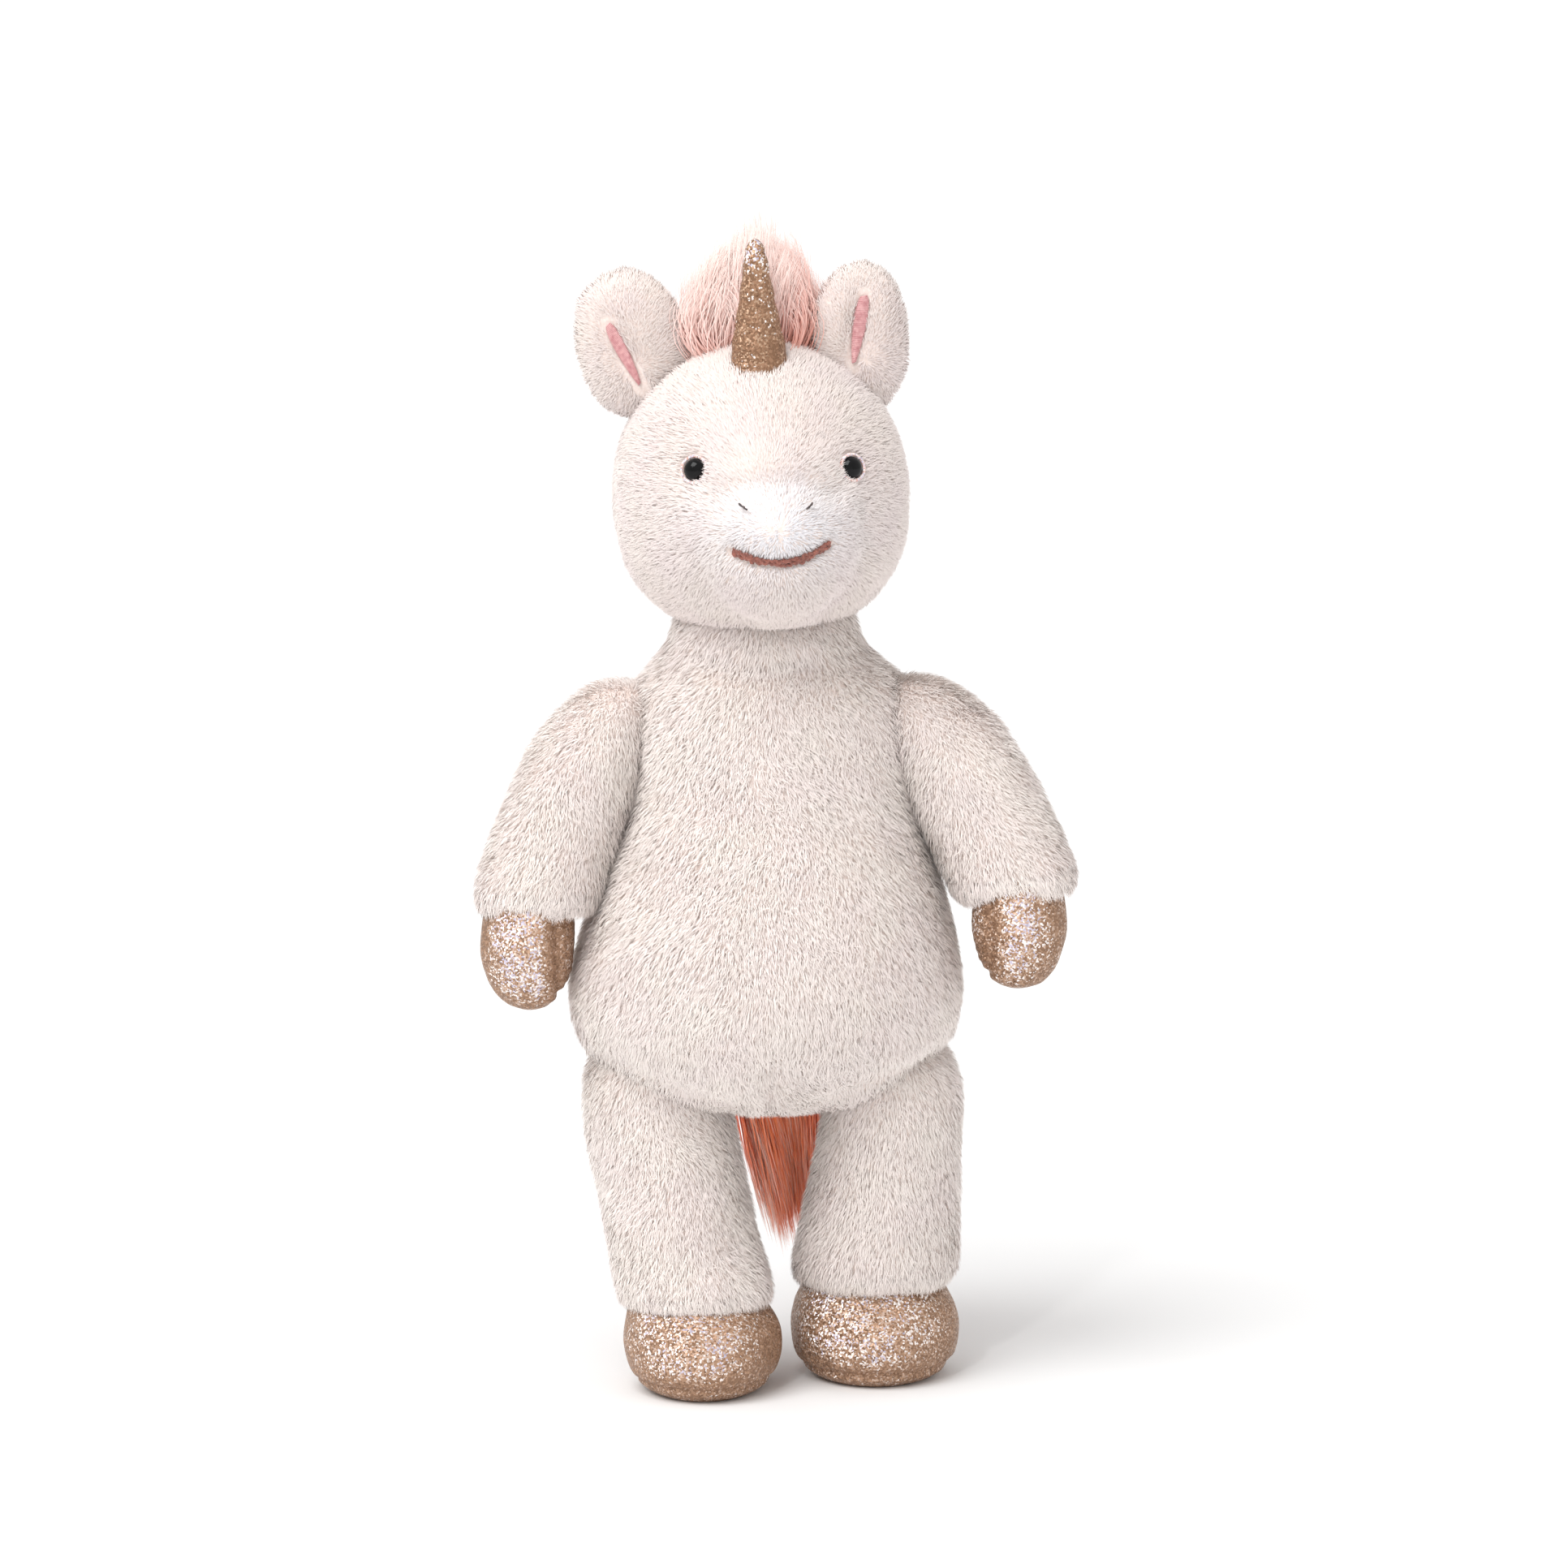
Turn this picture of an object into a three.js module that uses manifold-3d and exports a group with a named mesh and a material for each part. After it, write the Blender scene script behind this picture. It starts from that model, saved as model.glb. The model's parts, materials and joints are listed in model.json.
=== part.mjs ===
// Plush unicorn, standing, about 34 cm tall.
//
// Millimetres, +Z up. The toy faces -Y; "left" and "right" are the toy's own sides, so left is +X.
// Every skin is a thin shell of fur fabric round a separate solid of stuffing. The limbs, the neck,
// the head, the ears and the tail are groups placed at the point they turn about.

import * as THREE from 'three';
import { mergeVertices } from 'three/addons/utils/BufferGeometryUtils.js';
import Module from 'manifold-3d';

const wasm = await Module();
wasm.setup();

// ---- driving dimensions -------------------------------------------------------------------------

const GAP = 0.3;              // room between two pieces that touch
const SWING_GAP = 0.5;        // room round a piece that turns against another
const FUR = 3;                // fur fabric, backing and pile together
const GLITTER = 1.4;          // coated fabric of the hooves and the horn

const NECK_SEAM_Z = 224;      // height at which the head joins the neck
const NECK_CENTRE = [0, 1];   // x and y of the neck's middle
const NECK_RIM_DROP = 4.8;    // the neck's rim lies this far below the seam, so that the head can nod
const NECK_RIM_TILT = 8;      // degrees, the rim is lower in front, under the chin
const NECK_OPENING = 21;      // radius of the hole in both skins at that seam
const NECK_WAD_RADIUS = 16.5;
const WAD_ROOM = 1.2;         // room round the wad in the stuffing above and below

const HEAD_CENTRE = new THREE.Vector3(-1.3, 0, 262.5);
const HEAD_RADII = new THREE.Vector3(42.3, 41, 42);
const JOWL_FULLNESS = 0.75;   // 0 would make the lower half of the head a plain ellipsoid
const JOWL_BEHIND = 4;        // how quickly the jowls end behind, so that the head can tip back
const HEAD_YAW = 6;           // degrees, the face turned a little to the toy's left
const MUZZLE_REACH = 16;      // how far the muzzle stands out of the round head
const MUZZLE_SPREAD = 0.55;   // radians, how wide the muzzle is
const MUZZLE_DROP = -0.34;    // slope of the muzzle's direction below level

const EYE_SPACING = 45;
const EYE_RADIUS = 3.1;
const EYE_RING_RADIUS = 4;
const EYE_Z = 271;

const HORN_LENGTH = 39;
const HORN_BASE_RADIUS = 8.7;
const HORN_TIP_RADIUS = 2.5;

const HEM_Z = 23;             // lower edge of the leg fur
const SOLE_THICKNESS = 4;
const BOARD_THICKNESS = 1.8;
const PELLETS_TOP = 18;
const UPPER_TOP = 31;         // the glitter upper ends here, inside the leg fur

// Sections are [x, y, z, half width, half depth], from the lowest to the highest; a form closes to a
// point at its first and last section. Mirrored forms give x as the distance outward.
const TORSO = [
  [1, -2, 80.5, 0, 0], [1, -2, 84, 31, 25], [0, -3, 97, 50, 40], [0, -4, 118, 58.3, 47],
  [1, -3, 147, 51.5, 42], [2, -1, 175, 43, 34.5], [1, 0, 197, 36, 29.5], [0, 1, 212, 31, 27.5],
  [0, 1, 226, 28, 26.5], [0, 1, 236, 0, 0],
];
const ARM_SLEEVE = [
  [21.5, -12, -66, 0, 0], [21.5, -12, -64, 15, 15], [21.2, -11, -56, 16, 16],
  [20.3, -9, -46, 17.4, 17], [14.2, -5, -24, 17.8, 17.5], [8, -2, -5, 16.8, 16],
  [3.4, 0, 8, 12, 11.5], [1, 0, 16, 0, 0],
];
const ARM_HOOF = [
  [23.6, -16, -80.8, 0, 0], [23.8, -16, -78.5, 6.5, 5.5], [24, -15.5, -71.5, 11.4, 10],
  [23.8, -15, -62, 13.2, 12], [23.2, -13.5, -53, 12.8, 12], [22, -12, -44, 12, 11.5],
  [21.5, -11.5, -40, 0, 0],
];
const ARM_HOOF_TOP = -46;     // the hoof panels end here, inside the sleeve
const ARM_HOOF_SEAM = 15;     // the two panels of a hoof meet at this x
const ARM_HOOF_PIVOT = [21.5, -12, -46];  // a hoof leans about this point of its sleeve
const ARM_HEM = -56;
const ARM_HEM_DEPTH = 7;      // the sleeve's room starts this far above its hem

const TAIL = [
  [10, 58, 26, 0, 0], [9, 58, 32, 4.5, 4], [6, 58, 50, 9.5, 7.5], [4, 57, 74, 12, 8.5],
  [3, 53, 96, 8.5, 7], [3, 46, 108, 6, 5.5], [3, 40, 114, 0, 0],
];
const TAIL_ROOT = [3, 44, 108];
const SEAT_GUSSET = { width: 17, length: 44, height: 20, centre: [1, -2, 82] };
const MUZZLE_PANEL = { halfWidth: 22, halfHeight: 17, z: -12 };
const EAR_HALF_THICKNESS = 7;
const LINING_HALF = [2.6, 3, 9.5];      // half sizes of an ear's embroidered strip
const SMILE = { halfWidth: 13.2, z: -15.8, rise: 4.2 };
const MOUTH_THREAD_RADIUS = 0.8;
const NOSTRIL = [[9.4, -0.6], [8.1, -1.9], [6.8, -2.4]];  // x outward and z of the points of one stitch
const NOSTRIL_THREAD_RADIUS = 0.5;
const HORN_PLACE = { x: -1.5, y: -15, z: 295.7, back: 4, side: -2 };  // foot of the cone and its lean
const HORN_SUNK = 2;                    // the cone starts this far below its foot, inside the head
const HORN_TIP_WALL = 3;
const MANE = [
  [-2, 8, 296, 12, 14], [-2, 7, 306, 15, 15], [-2.5, 6, 318, 16.5, 12], [-2, 5, 330, 12, 8.5],
  [-1.5, 5, 338, 5.5, 5], [-1.5, 5, 341, 0, 0],
];

const SIDES = [
  {
    name: 'left', sign: 1,
    shoulder: [46, -2, 194], splay: 7, hoofLean: 9,
    hip: [36, -31, 98], footCentre: [32.1, 4], footHalf: [25.4, 27.5],
    legTop: [36, -1], legTopHalf: [21.6, 25], hem: [31.4, 5], hemHalf: [25.2, 24.5],
    earCentre: [27.5, 1, 304.5], earHalf: [14.2, 22.2], earLean: -2, earYaw: 12,
    earBase: [26, 1, 291], earBaseSlope: -52,
    liningLean: 11, liningPlace: [-1.2, 3],
  },
  {
    name: 'right', sign: -1,
    shoulder: [-44, -2, 192], splay: 0, hoofLean: 2,
    hip: [-30.5, -31, 98], footCentre: [-17.9, -15], footHalf: [23.6, 27.5],
    legTop: [-30.5, -2], legTopHalf: [23.2, 25], hem: [-20.5, -11], hemHalf: [23.8, 24.5],
    earCentre: [-37.5, 1, 302.5], earHalf: [16, 22], earLean: -11, earYaw: -4,
    earBase: [-31, 1, 291], earBaseSlope: 51,
    liningLean: -17, liningPlace: [-2.4, -2],
  },
];

// Angles in degrees: how far the shapes leave room to turn, and how the shoulders lean.
const HIP_BACK = 10;
const EAR_FLOP = 30;
const TAIL_LIFT = 60;
const SHOULDER_TILT = 17;     // the sides of the torso lean in by this much at the shoulders
const SHOULDER_TOE_IN = 12;   // and face forward by this much, so that raised arms close in front

// ---- materials ----------------------------------------------------------------------------------

function material(color, roughness, metalness = 0) {
  return () => new THREE.MeshStandardMaterial({ color, roughness, metalness });
}

const furWhite = material(0xf1e6e1, 0.95);
const muzzleWhite = material(0xf7f4f3, 0.95);
const stuffingWhite = material(0xfbfaf7, 1);
const glitterGold = material(0xb99478, 0.45, 0.5);
const hornGold = material(0xb28f74, 0.45, 0.5);
const maneBlush = material(0xe7b8ab, 0.8);
const tailCoral = material(0xd08a6e, 0.8);
const liningPink = material(0xe0a8ac, 0.6);
const eyeBlack = material(0x0a0a0c, 0.08);
const ringRose = material(0xe8cfcb, 0.4, 0.4);
const washerWhite = material(0xe6e6e2, 0.5);
const mouthBrown = material(0x9c5f54, 0.6);
const nostrilBrown = material(0x4a3a36, 0.7);
const boardGrey = material(0xb9ae9c, 0.9);
const pelletBagGrey = material(0xd8d4cb, 0.8);

// ---- solids -------------------------------------------------------------------------------------

// A closed geometry as a solid that can be cut and joined.
function solid(geometry) {
  const bare = geometry.clone();
  bare.deleteAttribute('normal');
  bare.deleteAttribute('uv');
  const merged = mergeVertices(bare, 1e-4);
  const corners = merged.index.array;
  const triangles = [];
  for (let i = 0; i < corners.length; i += 3) {
    const [a, b, c] = [corners[i], corners[i + 1], corners[i + 2]];
    if (a !== b && b !== c && c !== a) triangles.push(a, b, c);
  }
  return new wasm.Manifold(new wasm.Mesh({
    numProp: 3,
    vertProperties: new Float32Array(merged.attributes.position.array),
    triVerts: new Uint32Array(triangles),
  }));
}

function geometryOf(body) {
  const mesh = body.getMesh();
  const geometry = new THREE.BufferGeometry();
  geometry.setAttribute('position', new THREE.BufferAttribute(new Float32Array(mesh.vertProperties), 3));
  geometry.setIndex(new THREE.BufferAttribute(new Uint32Array(mesh.triVerts), 1));
  geometry.computeVertexNormals();
  return geometry;
}

// Adds a piece, given where it lies on the toy, to the group it moves with.
function add(group, name, body, makeMaterial) {
  const geometry = geometryOf(body);
  group.updateWorldMatrix(true, false);
  geometry.applyMatrix4(group.matrixWorld.clone().invert());
  const mesh = new THREE.Mesh(geometry, makeMaterial());
  mesh.name = name;
  group.add(mesh);
}

function groupAt(parent, x, y, z) {
  const group = new THREE.Group();
  group.position.set(x, y, z);
  parent.add(group);
  return group;
}

function degrees(angle) {
  return THREE.MathUtils.degToRad(angle);
}

function turnAbout(point, axis, angle) {
  const [x, y, z] = point;
  return new THREE.Matrix4().makeTranslation(x, y, z)
    .multiply(new THREE.Matrix4().makeRotationAxis(axis, degrees(angle)))
    .multiply(new THREE.Matrix4().makeTranslation(-x, -y, -z));
}

// A closed form with elliptic sections, smooth between the listed ones, all of it "inset" inside.
function loft(sections, { inset = 0, rings = 12, sides = 18 } = {}) {
  const centres = new THREE.CatmullRomCurve3(sections.map(([x, y, z]) => new THREE.Vector3(x, y, z)));
  const halves = new THREE.CatmullRomCurve3(sections.map((s) => new THREE.Vector3(s[3], s[4], 0)));
  const low = sections[0][2] + inset;
  const high = sections.at(-1)[2] - inset;
  const profile = [];
  for (let ring = 0; ring <= rings; ring++) {
    profile.push(new THREE.Vector2(ring === 0 || ring === rings ? 0 : 1, ring));
  }
  const geometry = new THREE.LatheGeometry(profile, sides);
  const narrowest = 0.5;
  const position = geometry.attributes.position;
  for (let i = 0; i < position.count; i++) {
    const along = position.getY(i) / rings;
    const centre = centres.getPoint(along);
    const half = halves.getPoint(along);
    const x = centre.x + position.getX(i) * Math.max(half.x - inset, narrowest);
    const y = centre.y - position.getZ(i) * Math.max(half.y - inset, narrowest);
    position.setXYZ(i, x, y, THREE.MathUtils.clamp(centre.z, low, high));
  }
  return geometry;
}

function slab(lowZ, highZ, reach = 400) {
  const geometry = new THREE.BoxGeometry(reach, reach, highZ - lowZ);
  geometry.translate(0, 0, (lowZ + highZ) / 2);
  return solid(geometry);
}

// Everything in front of (side -1) or behind (side 1) the upright plane across y.
function halfSpace(y, side, reach = 400) {
  const geometry = new THREE.BoxGeometry(reach, reach, 2 * reach);
  geometry.translate(0, y + side * reach / 2, 0);
  return solid(geometry);
}

// Takes away the room that another body sweeps when this one turns about its joint.
function relieve(body, neighbour, point, axis, angles) {
  let left = body;
  for (const angle of angles) {
    const swept = neighbour.clone().applyMatrix4(turnAbout(point, axis, -angle));
    left = left.subtract(solid(swept));
  }
  return left;
}

function steps(from, to, step) {
  const count = Math.ceil((to - from) / step);
  return Array.from({ length: count + 1 }, (_, i) => from + (to - from) * i / count);
}

// ---- forms that several pieces share ------------------------------------------------------------

function torsoForm(inset) {
  return loft(TORSO, { inset, rings: 12, sides: 18 });
}

const muzzleDirection = new THREE.Vector3(0, -1, MUZZLE_DROP).normalize();

// The head's surface in one direction from its centre, before the head is turned.
function headPoint(direction, inset) {
  const unit = direction.clone().normalize();
  const level = Math.hypot(unit.x / HEAD_RADII.x, unit.y / HEAD_RADII.y);
  const sideways = unit.x ** 2 / Math.max(unit.x ** 2 + unit.y ** 2, 1e-9);
  const share = unit.y > 0 ? sideways ** JOWL_BEHIND : sideways;
  const power = unit.z < 0 ? 2 + JOWL_FULLNESS * share : 2;
  const round = (level ** power + Math.abs(unit.z / HEAD_RADII.z) ** power) ** (-1 / power);
  const angle = unit.angleTo(muzzleDirection);
  const muzzle = MUZZLE_REACH * Math.exp(-((angle / MUZZLE_SPREAD) ** 2));
  return unit.multiplyScalar(round + muzzle - inset);
}

const headPlace = new THREE.Matrix4().makeTranslation(HEAD_CENTRE.x, HEAD_CENTRE.y, HEAD_CENTRE.z)
  .multiply(new THREE.Matrix4().makeRotationZ(degrees(HEAD_YAW)));

function headForm(inset) {
  const geometry = new THREE.SphereGeometry(1, 18, 12);
  geometry.rotateX(Math.PI / 2);
  const position = geometry.attributes.position;
  for (let i = 0; i < position.count; i++) {
    const point = headPoint(new THREE.Vector3().fromBufferAttribute(position, i), inset);
    position.setXYZ(i, point.x, point.y, point.z);
  }
  return geometry.applyMatrix4(headPlace);
}

// A place and an outward direction on the face, for x across and z above the head's centre.
function onFace(x, z) {
  let y = -HEAD_RADII.y;
  for (let i = 0; i < 12; i++) {
    const surface = headPoint(new THREE.Vector3(x, y, z), 0);
    y += surface.length() < Math.hypot(x, y, z) ? 0.5 : -0.5;
    y *= surface.length() / Math.hypot(x, y, z);
  }
  const point = headPoint(new THREE.Vector3(x, y, z), 0);
  const right = headPoint(new THREE.Vector3(x + 1, y, z), 0).sub(point);
  const up = headPoint(new THREE.Vector3(x, y, z + 1), 0).sub(point);
  return { point, outward: new THREE.Vector3().crossVectors(right, up).normalize() };
}

// ---- the toy ------------------------------------------------------------------------------------

const toy = new THREE.Group();
const torsoSkin = torsoForm(0);
const torsoRoom = torsoForm(-SWING_GAP);
const headRoom = headForm(-SWING_GAP);

// An upright cylinder about the neck's middle.
function cylinderUp(radius, lowZ, highZ) {
  const geometry = new THREE.CylinderGeometry(radius, radius, highZ - lowZ, 16);
  geometry.rotateX(Math.PI / 2);
  geometry.translate(...NECK_CENTRE, (lowZ + highZ) / 2);
  return solid(geometry);
}

// Everything above the neck's slanting rim.
function aboveNeckRim() {
  const block = new THREE.BoxGeometry(200, 200, 100).translate(0, 0, 50);
  block.rotateX(degrees(NECK_RIM_TILT));
  block.translate(NECK_CENTRE[0], NECK_CENTRE[1], NECK_SEAM_Z - NECK_RIM_DROP);
  return solid(block);
}

function wad(radius) {
  const geometry = new THREE.SphereGeometry(radius, 12, 8);
  geometry.translate(NECK_CENTRE[0], NECK_CENTRE[1], NECK_SEAM_Z);
  return solid(geometry);
}

function buildTorso() {
  const group = groupAt(toy, 0, 0, 0);
  const opening = cylinderUp(NECK_OPENING, NECK_SEAM_Z - 12, NECK_SEAM_Z + 60);
  const shell = solid(torsoSkin).subtract(solid(torsoForm(FUR)))
    .subtract(aboveNeckRim())
    .subtract(opening);

  const { width, length, height, centre } = SEAT_GUSSET;
  const gussetBox = (grow) => solid(
    new THREE.BoxGeometry(width + grow, length + grow, height + grow).translate(...centre),
  );
  const panels = shell.subtract(gussetBox(2 * GAP));
  add(group, 'torso_front_panel', panels.intersect(halfSpace(-GAP / 2, -1)), furWhite);
  add(group, 'torso_back_panel', panels.intersect(halfSpace(GAP / 2, 1)), furWhite);
  add(group, 'seat_gusset', shell.intersect(gussetBox(0)), furWhite);

  const stuffing = solid(torsoForm(FUR + GAP)).subtract(slab(NECK_SEAM_Z - 7, NECK_SEAM_Z + 60))
    .subtract(wad(NECK_WAD_RADIUS + WAD_ROOM));
  add(group, 'torso_stuffing', stuffing, stuffingWhite);
}

function buildNeck() {
  const group = groupAt(toy, NECK_CENTRE[0], NECK_CENTRE[1], NECK_SEAM_Z);
  add(group, 'neck_stuffing', wad(NECK_WAD_RADIUS), stuffingWhite);
  return group;
}

// ---- head ---------------------------------------------------------------------------------------

// The muzzle panel's edge: an oval pushed through the front of the head.
function muzzleOval(grow) {
  const geometry = new THREE.CylinderGeometry(1, 1, 60, 18);
  geometry.scale(MUZZLE_PANEL.halfWidth + grow, 1, MUZZLE_PANEL.halfHeight + grow);
  geometry.translate(0, -45, MUZZLE_PANEL.z);
  return solid(geometry.applyMatrix4(headPlace));
}

// A turned shape laid on the face at x and z, its axis pointing out of the face.
function turnedOnFace(profile, x, z, sides) {
  const { point, outward } = onFace(x, z);
  const outline = profile.map(([radius, height]) => new THREE.Vector2(radius, height));
  const geometry = new THREE.LatheGeometry(outline, sides);
  const turn = new THREE.Quaternion().setFromUnitVectors(new THREE.Vector3(0, 1, 0), outward);
  geometry.applyQuaternion(turn);
  geometry.translate(point.x, point.y, point.z);
  return solid(geometry.applyMatrix4(headPlace));
}

// The dome of a safety eye with its flat back and the shank that goes through the face.
function eyeProfile(grow = 0) {
  const shank = 1.2 + grow;
  const dome = EYE_RADIUS + grow;
  const arc = steps(0, 90, 30).map((angle) => [
    dome * Math.cos(degrees(angle)), 0.6 + (dome - 0.6) * Math.sin(degrees(angle)),
  ]);
  arc.at(-1)[0] = 0;
  return [[0, -8 - grow], [shank, -8 - grow], [shank, 0.4 - grow], [dome, 0.4 - grow], ...arc];
}

function ringProfile() {
  const inner = EYE_RADIUS + GAP;
  return [[inner, 0.4], [EYE_RING_RADIUS, 0.4], [EYE_RING_RADIUS - 0.2, 1.2], [inner, 1.4], [inner, 0.4]];
}

function washerProfile(grow = 0) {
  const [inner, outer] = [1.2 + GAP - grow, 5.5 + grow];
  const [bottom, top] = [-6.4 - grow, -5.2 + grow];
  return [[inner, bottom], [outer, bottom], [outer, top], [inner, top], [inner, bottom]];
}

// A thread laid on the face along points [x, z], standing clear of the fur by the usual gap.
function threadOnFace(points, radius, pieces) {
  const route = points.map(([x, z]) => {
    const { point, outward } = onFace(x, z);
    return point.addScaledVector(outward, radius + 2 * GAP);
  });
  const path = new THREE.CatmullRomCurve3(route);
  const section = new THREE.Shape().absarc(0, 0, radius, 0, 2 * Math.PI);
  const geometry = new THREE.ExtrudeGeometry(section, {
    steps: pieces, curveSegments: 3, bevelEnabled: false, extrudePath: path,
  });
  return solid(geometry.applyMatrix4(headPlace));
}

function hornCone(inset, topInset) {
  const profile = [
    [0, -HORN_SUNK], [HORN_BASE_RADIUS - inset, -HORN_SUNK], [HORN_BASE_RADIUS - inset, 0],
    [HORN_TIP_RADIUS - inset, HORN_LENGTH - 2 - topInset],
    [HORN_TIP_RADIUS * 0.6 - inset * 0.6, HORN_LENGTH - 0.5 - topInset], [0, HORN_LENGTH - topInset],
  ].map(([radius, height]) => new THREE.Vector2(Math.max(radius, 0), height));
  const geometry = new THREE.LatheGeometry(profile, 12);
  geometry.rotateX(Math.PI / 2);
  geometry.rotateX(degrees(HORN_PLACE.back));
  geometry.rotateY(degrees(HORN_PLACE.side));
  return solid(geometry.translate(HORN_PLACE.x, HORN_PLACE.y, HORN_PLACE.z));
}

function buildHead(neck) {
  const group = groupAt(neck, 0, 0, 0);
  const below = cylinderUp(NECK_OPENING, NECK_SEAM_Z - 74, NECK_SEAM_Z + 20);
  const eyes = [-1, 1].map((sign) => ({
    name: sign > 0 ? 'left' : 'right', x: sign * EYE_SPACING / 2, z: EYE_Z - HEAD_CENTRE.z,
  }));

  let shell = solid(headForm(0)).subtract(solid(headForm(FUR))).subtract(below);
  let stuffing = solid(headForm(FUR + GAP)).subtract(slab(100, NECK_SEAM_Z + 6))
    .subtract(wad(NECK_WAD_RADIUS + WAD_ROOM));
  for (const { x, z } of eyes) {
    shell = shell.subtract(turnedOnFace(eyeProfile(GAP), x, z, 12));
    stuffing = stuffing.subtract(turnedOnFace(eyeProfile(GAP), x, z, 12));
    stuffing = stuffing.subtract(turnedOnFace(washerProfile(GAP), x, z, 12));
  }

  const front = shell.intersect(halfSpace(-GAP / 2, -1));
  add(group, 'face_panel', front.subtract(muzzleOval(GAP)), furWhite);
  add(group, 'muzzle_panel', front.intersect(muzzleOval(0)), muzzleWhite);
  add(group, 'head_back_panel', shell.intersect(halfSpace(GAP / 2, 1)), furWhite);
  add(group, 'head_stuffing', stuffing, stuffingWhite);

  for (const { name, x, z } of eyes) {
    add(group, `${name}_eye`, turnedOnFace(eyeProfile(), x, z, 12), eyeBlack);
    add(group, `${name}_eye_ring`, turnedOnFace(ringProfile(), x, z, 16), ringRose);
    add(group, `${name}_eye_washer`, turnedOnFace(washerProfile(), x, z, 12), washerWhite);
    const side = Math.sign(x);
    const nostril = NOSTRIL.map(([outward, height]) => [side * outward, height]);
    add(group, `${name}_nostril_stitch`, threadOnFace(nostril, NOSTRIL_THREAD_RADIUS, 3), nostrilBrown);
  }
  const smile = steps(-1, 1, 0.25)
    .map((part) => [SMILE.halfWidth * part, SMILE.z + SMILE.rise * part ** 2]);
  add(group, 'mouth_stitch', threadOnFace(smile, MOUTH_THREAD_RADIUS, 10), mouthBrown);

  const headAndGap = solid(headForm(-GAP));
  const hornFull = hornCone(0, 0);
  const cover = hornFull.subtract(hornCone(GLITTER, HORN_TIP_WALL)).subtract(headAndGap);
  const filling = hornCone(GLITTER + GAP, HORN_TIP_WALL + GAP).subtract(headAndGap);
  add(group, 'horn_cover', cover, hornGold);
  add(group, 'horn_stuffing', filling, stuffingWhite);

  const mane = solid(loft(MANE, { rings: 7, sides: 12 }))
    .subtract(headAndGap)
    .subtract(hornCone(-SWING_GAP, 0));
  add(group, 'mane_tuft', mane, maneBlush);
  return group;
}

// ---- ears ---------------------------------------------------------------------------------------

function earPlace(side) {
  const [x, y, z] = side.earCentre;
  return new THREE.Matrix4().makeTranslation(x, y, z)
    .multiply(new THREE.Matrix4().makeRotationZ(degrees(side.earYaw)))
    .multiply(new THREE.Matrix4().makeRotationY(degrees(side.earLean)));
}

function buildEar(head, side) {
  const group = groupAt(head, 0, 0, 0);
  group.position.set(side.earBase[0], side.earBase[1], side.earBase[2] - NECK_SEAM_Z);
  group.position.sub(new THREE.Vector3(NECK_CENTRE[0], NECK_CENTRE[1], 0));
  const place = earPlace(side);
  const slope = degrees(side.earBaseSlope);
  const axis = new THREE.Vector3(Math.cos(slope), 0, Math.sin(slope));
  const [halfWidth, halfHeight] = side.earHalf;
  const pad = new THREE.SphereGeometry(1, 14, 8)
    .scale(halfWidth, EAR_HALF_THICKNESS, halfHeight)
    .applyMatrix4(place);
  const whole = relieve(solid(pad), headRoom, side.earBase, axis, steps(-EAR_FLOP, EAR_FLOP, 15));

  const middle = (y, direction) => solid(new THREE.BoxGeometry(80, 80, 80)
    .translate(0, y + direction * 40, 0).applyMatrix4(place));
  const lining = (grow) => solid(new THREE.SphereGeometry(1, 8, 6)
    .scale(...LINING_HALF.map((half) => half + grow))
    .rotateY(degrees(side.liningLean))
    .translate(side.liningPlace[0], -6.4, side.liningPlace[1]).applyMatrix4(place));
  const front = whole.intersect(middle(-GAP / 2, -1)).subtract(lining(GAP));
  add(group, `${side.name}_ear_back_panel`, whole.intersect(middle(GAP / 2, 1)), furWhite);
  add(group, `${side.name}_ear_front_panel`, front, furWhite);
  add(group, `${side.name}_ear_lining`, lining(0), liningPink);
}

// ---- arms ---------------------------------------------------------------------------------------

// Everything on the torso's side of the flat that the arm turns on, which stands "clearance" off it.
function shoulderSide(side, clearance) {
  const turn = new THREE.Matrix4().makeRotationZ(degrees(-side.sign * SHOULDER_TOE_IN))
    .multiply(new THREE.Matrix4().makeRotationY(degrees(-side.sign * SHOULDER_TILT)));
  const axis = new THREE.Vector3(side.sign, 0, 0).applyMatrix4(turn);
  const vertex = new THREE.Vector3();
  let reach = -Infinity;
  for (let i = 0; i < torsoSkin.attributes.position.count; i++) {
    vertex.fromBufferAttribute(torsoSkin.attributes.position, i);
    reach = Math.max(reach, vertex.dot(axis));
  }
  const block = new THREE.BoxGeometry(800, 800, 800).translate(-side.sign * 400, 0, 0);
  block.applyMatrix4(turn);
  block.translate(...axis.multiplyScalar(reach + clearance));
  return solid(block);
}

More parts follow.
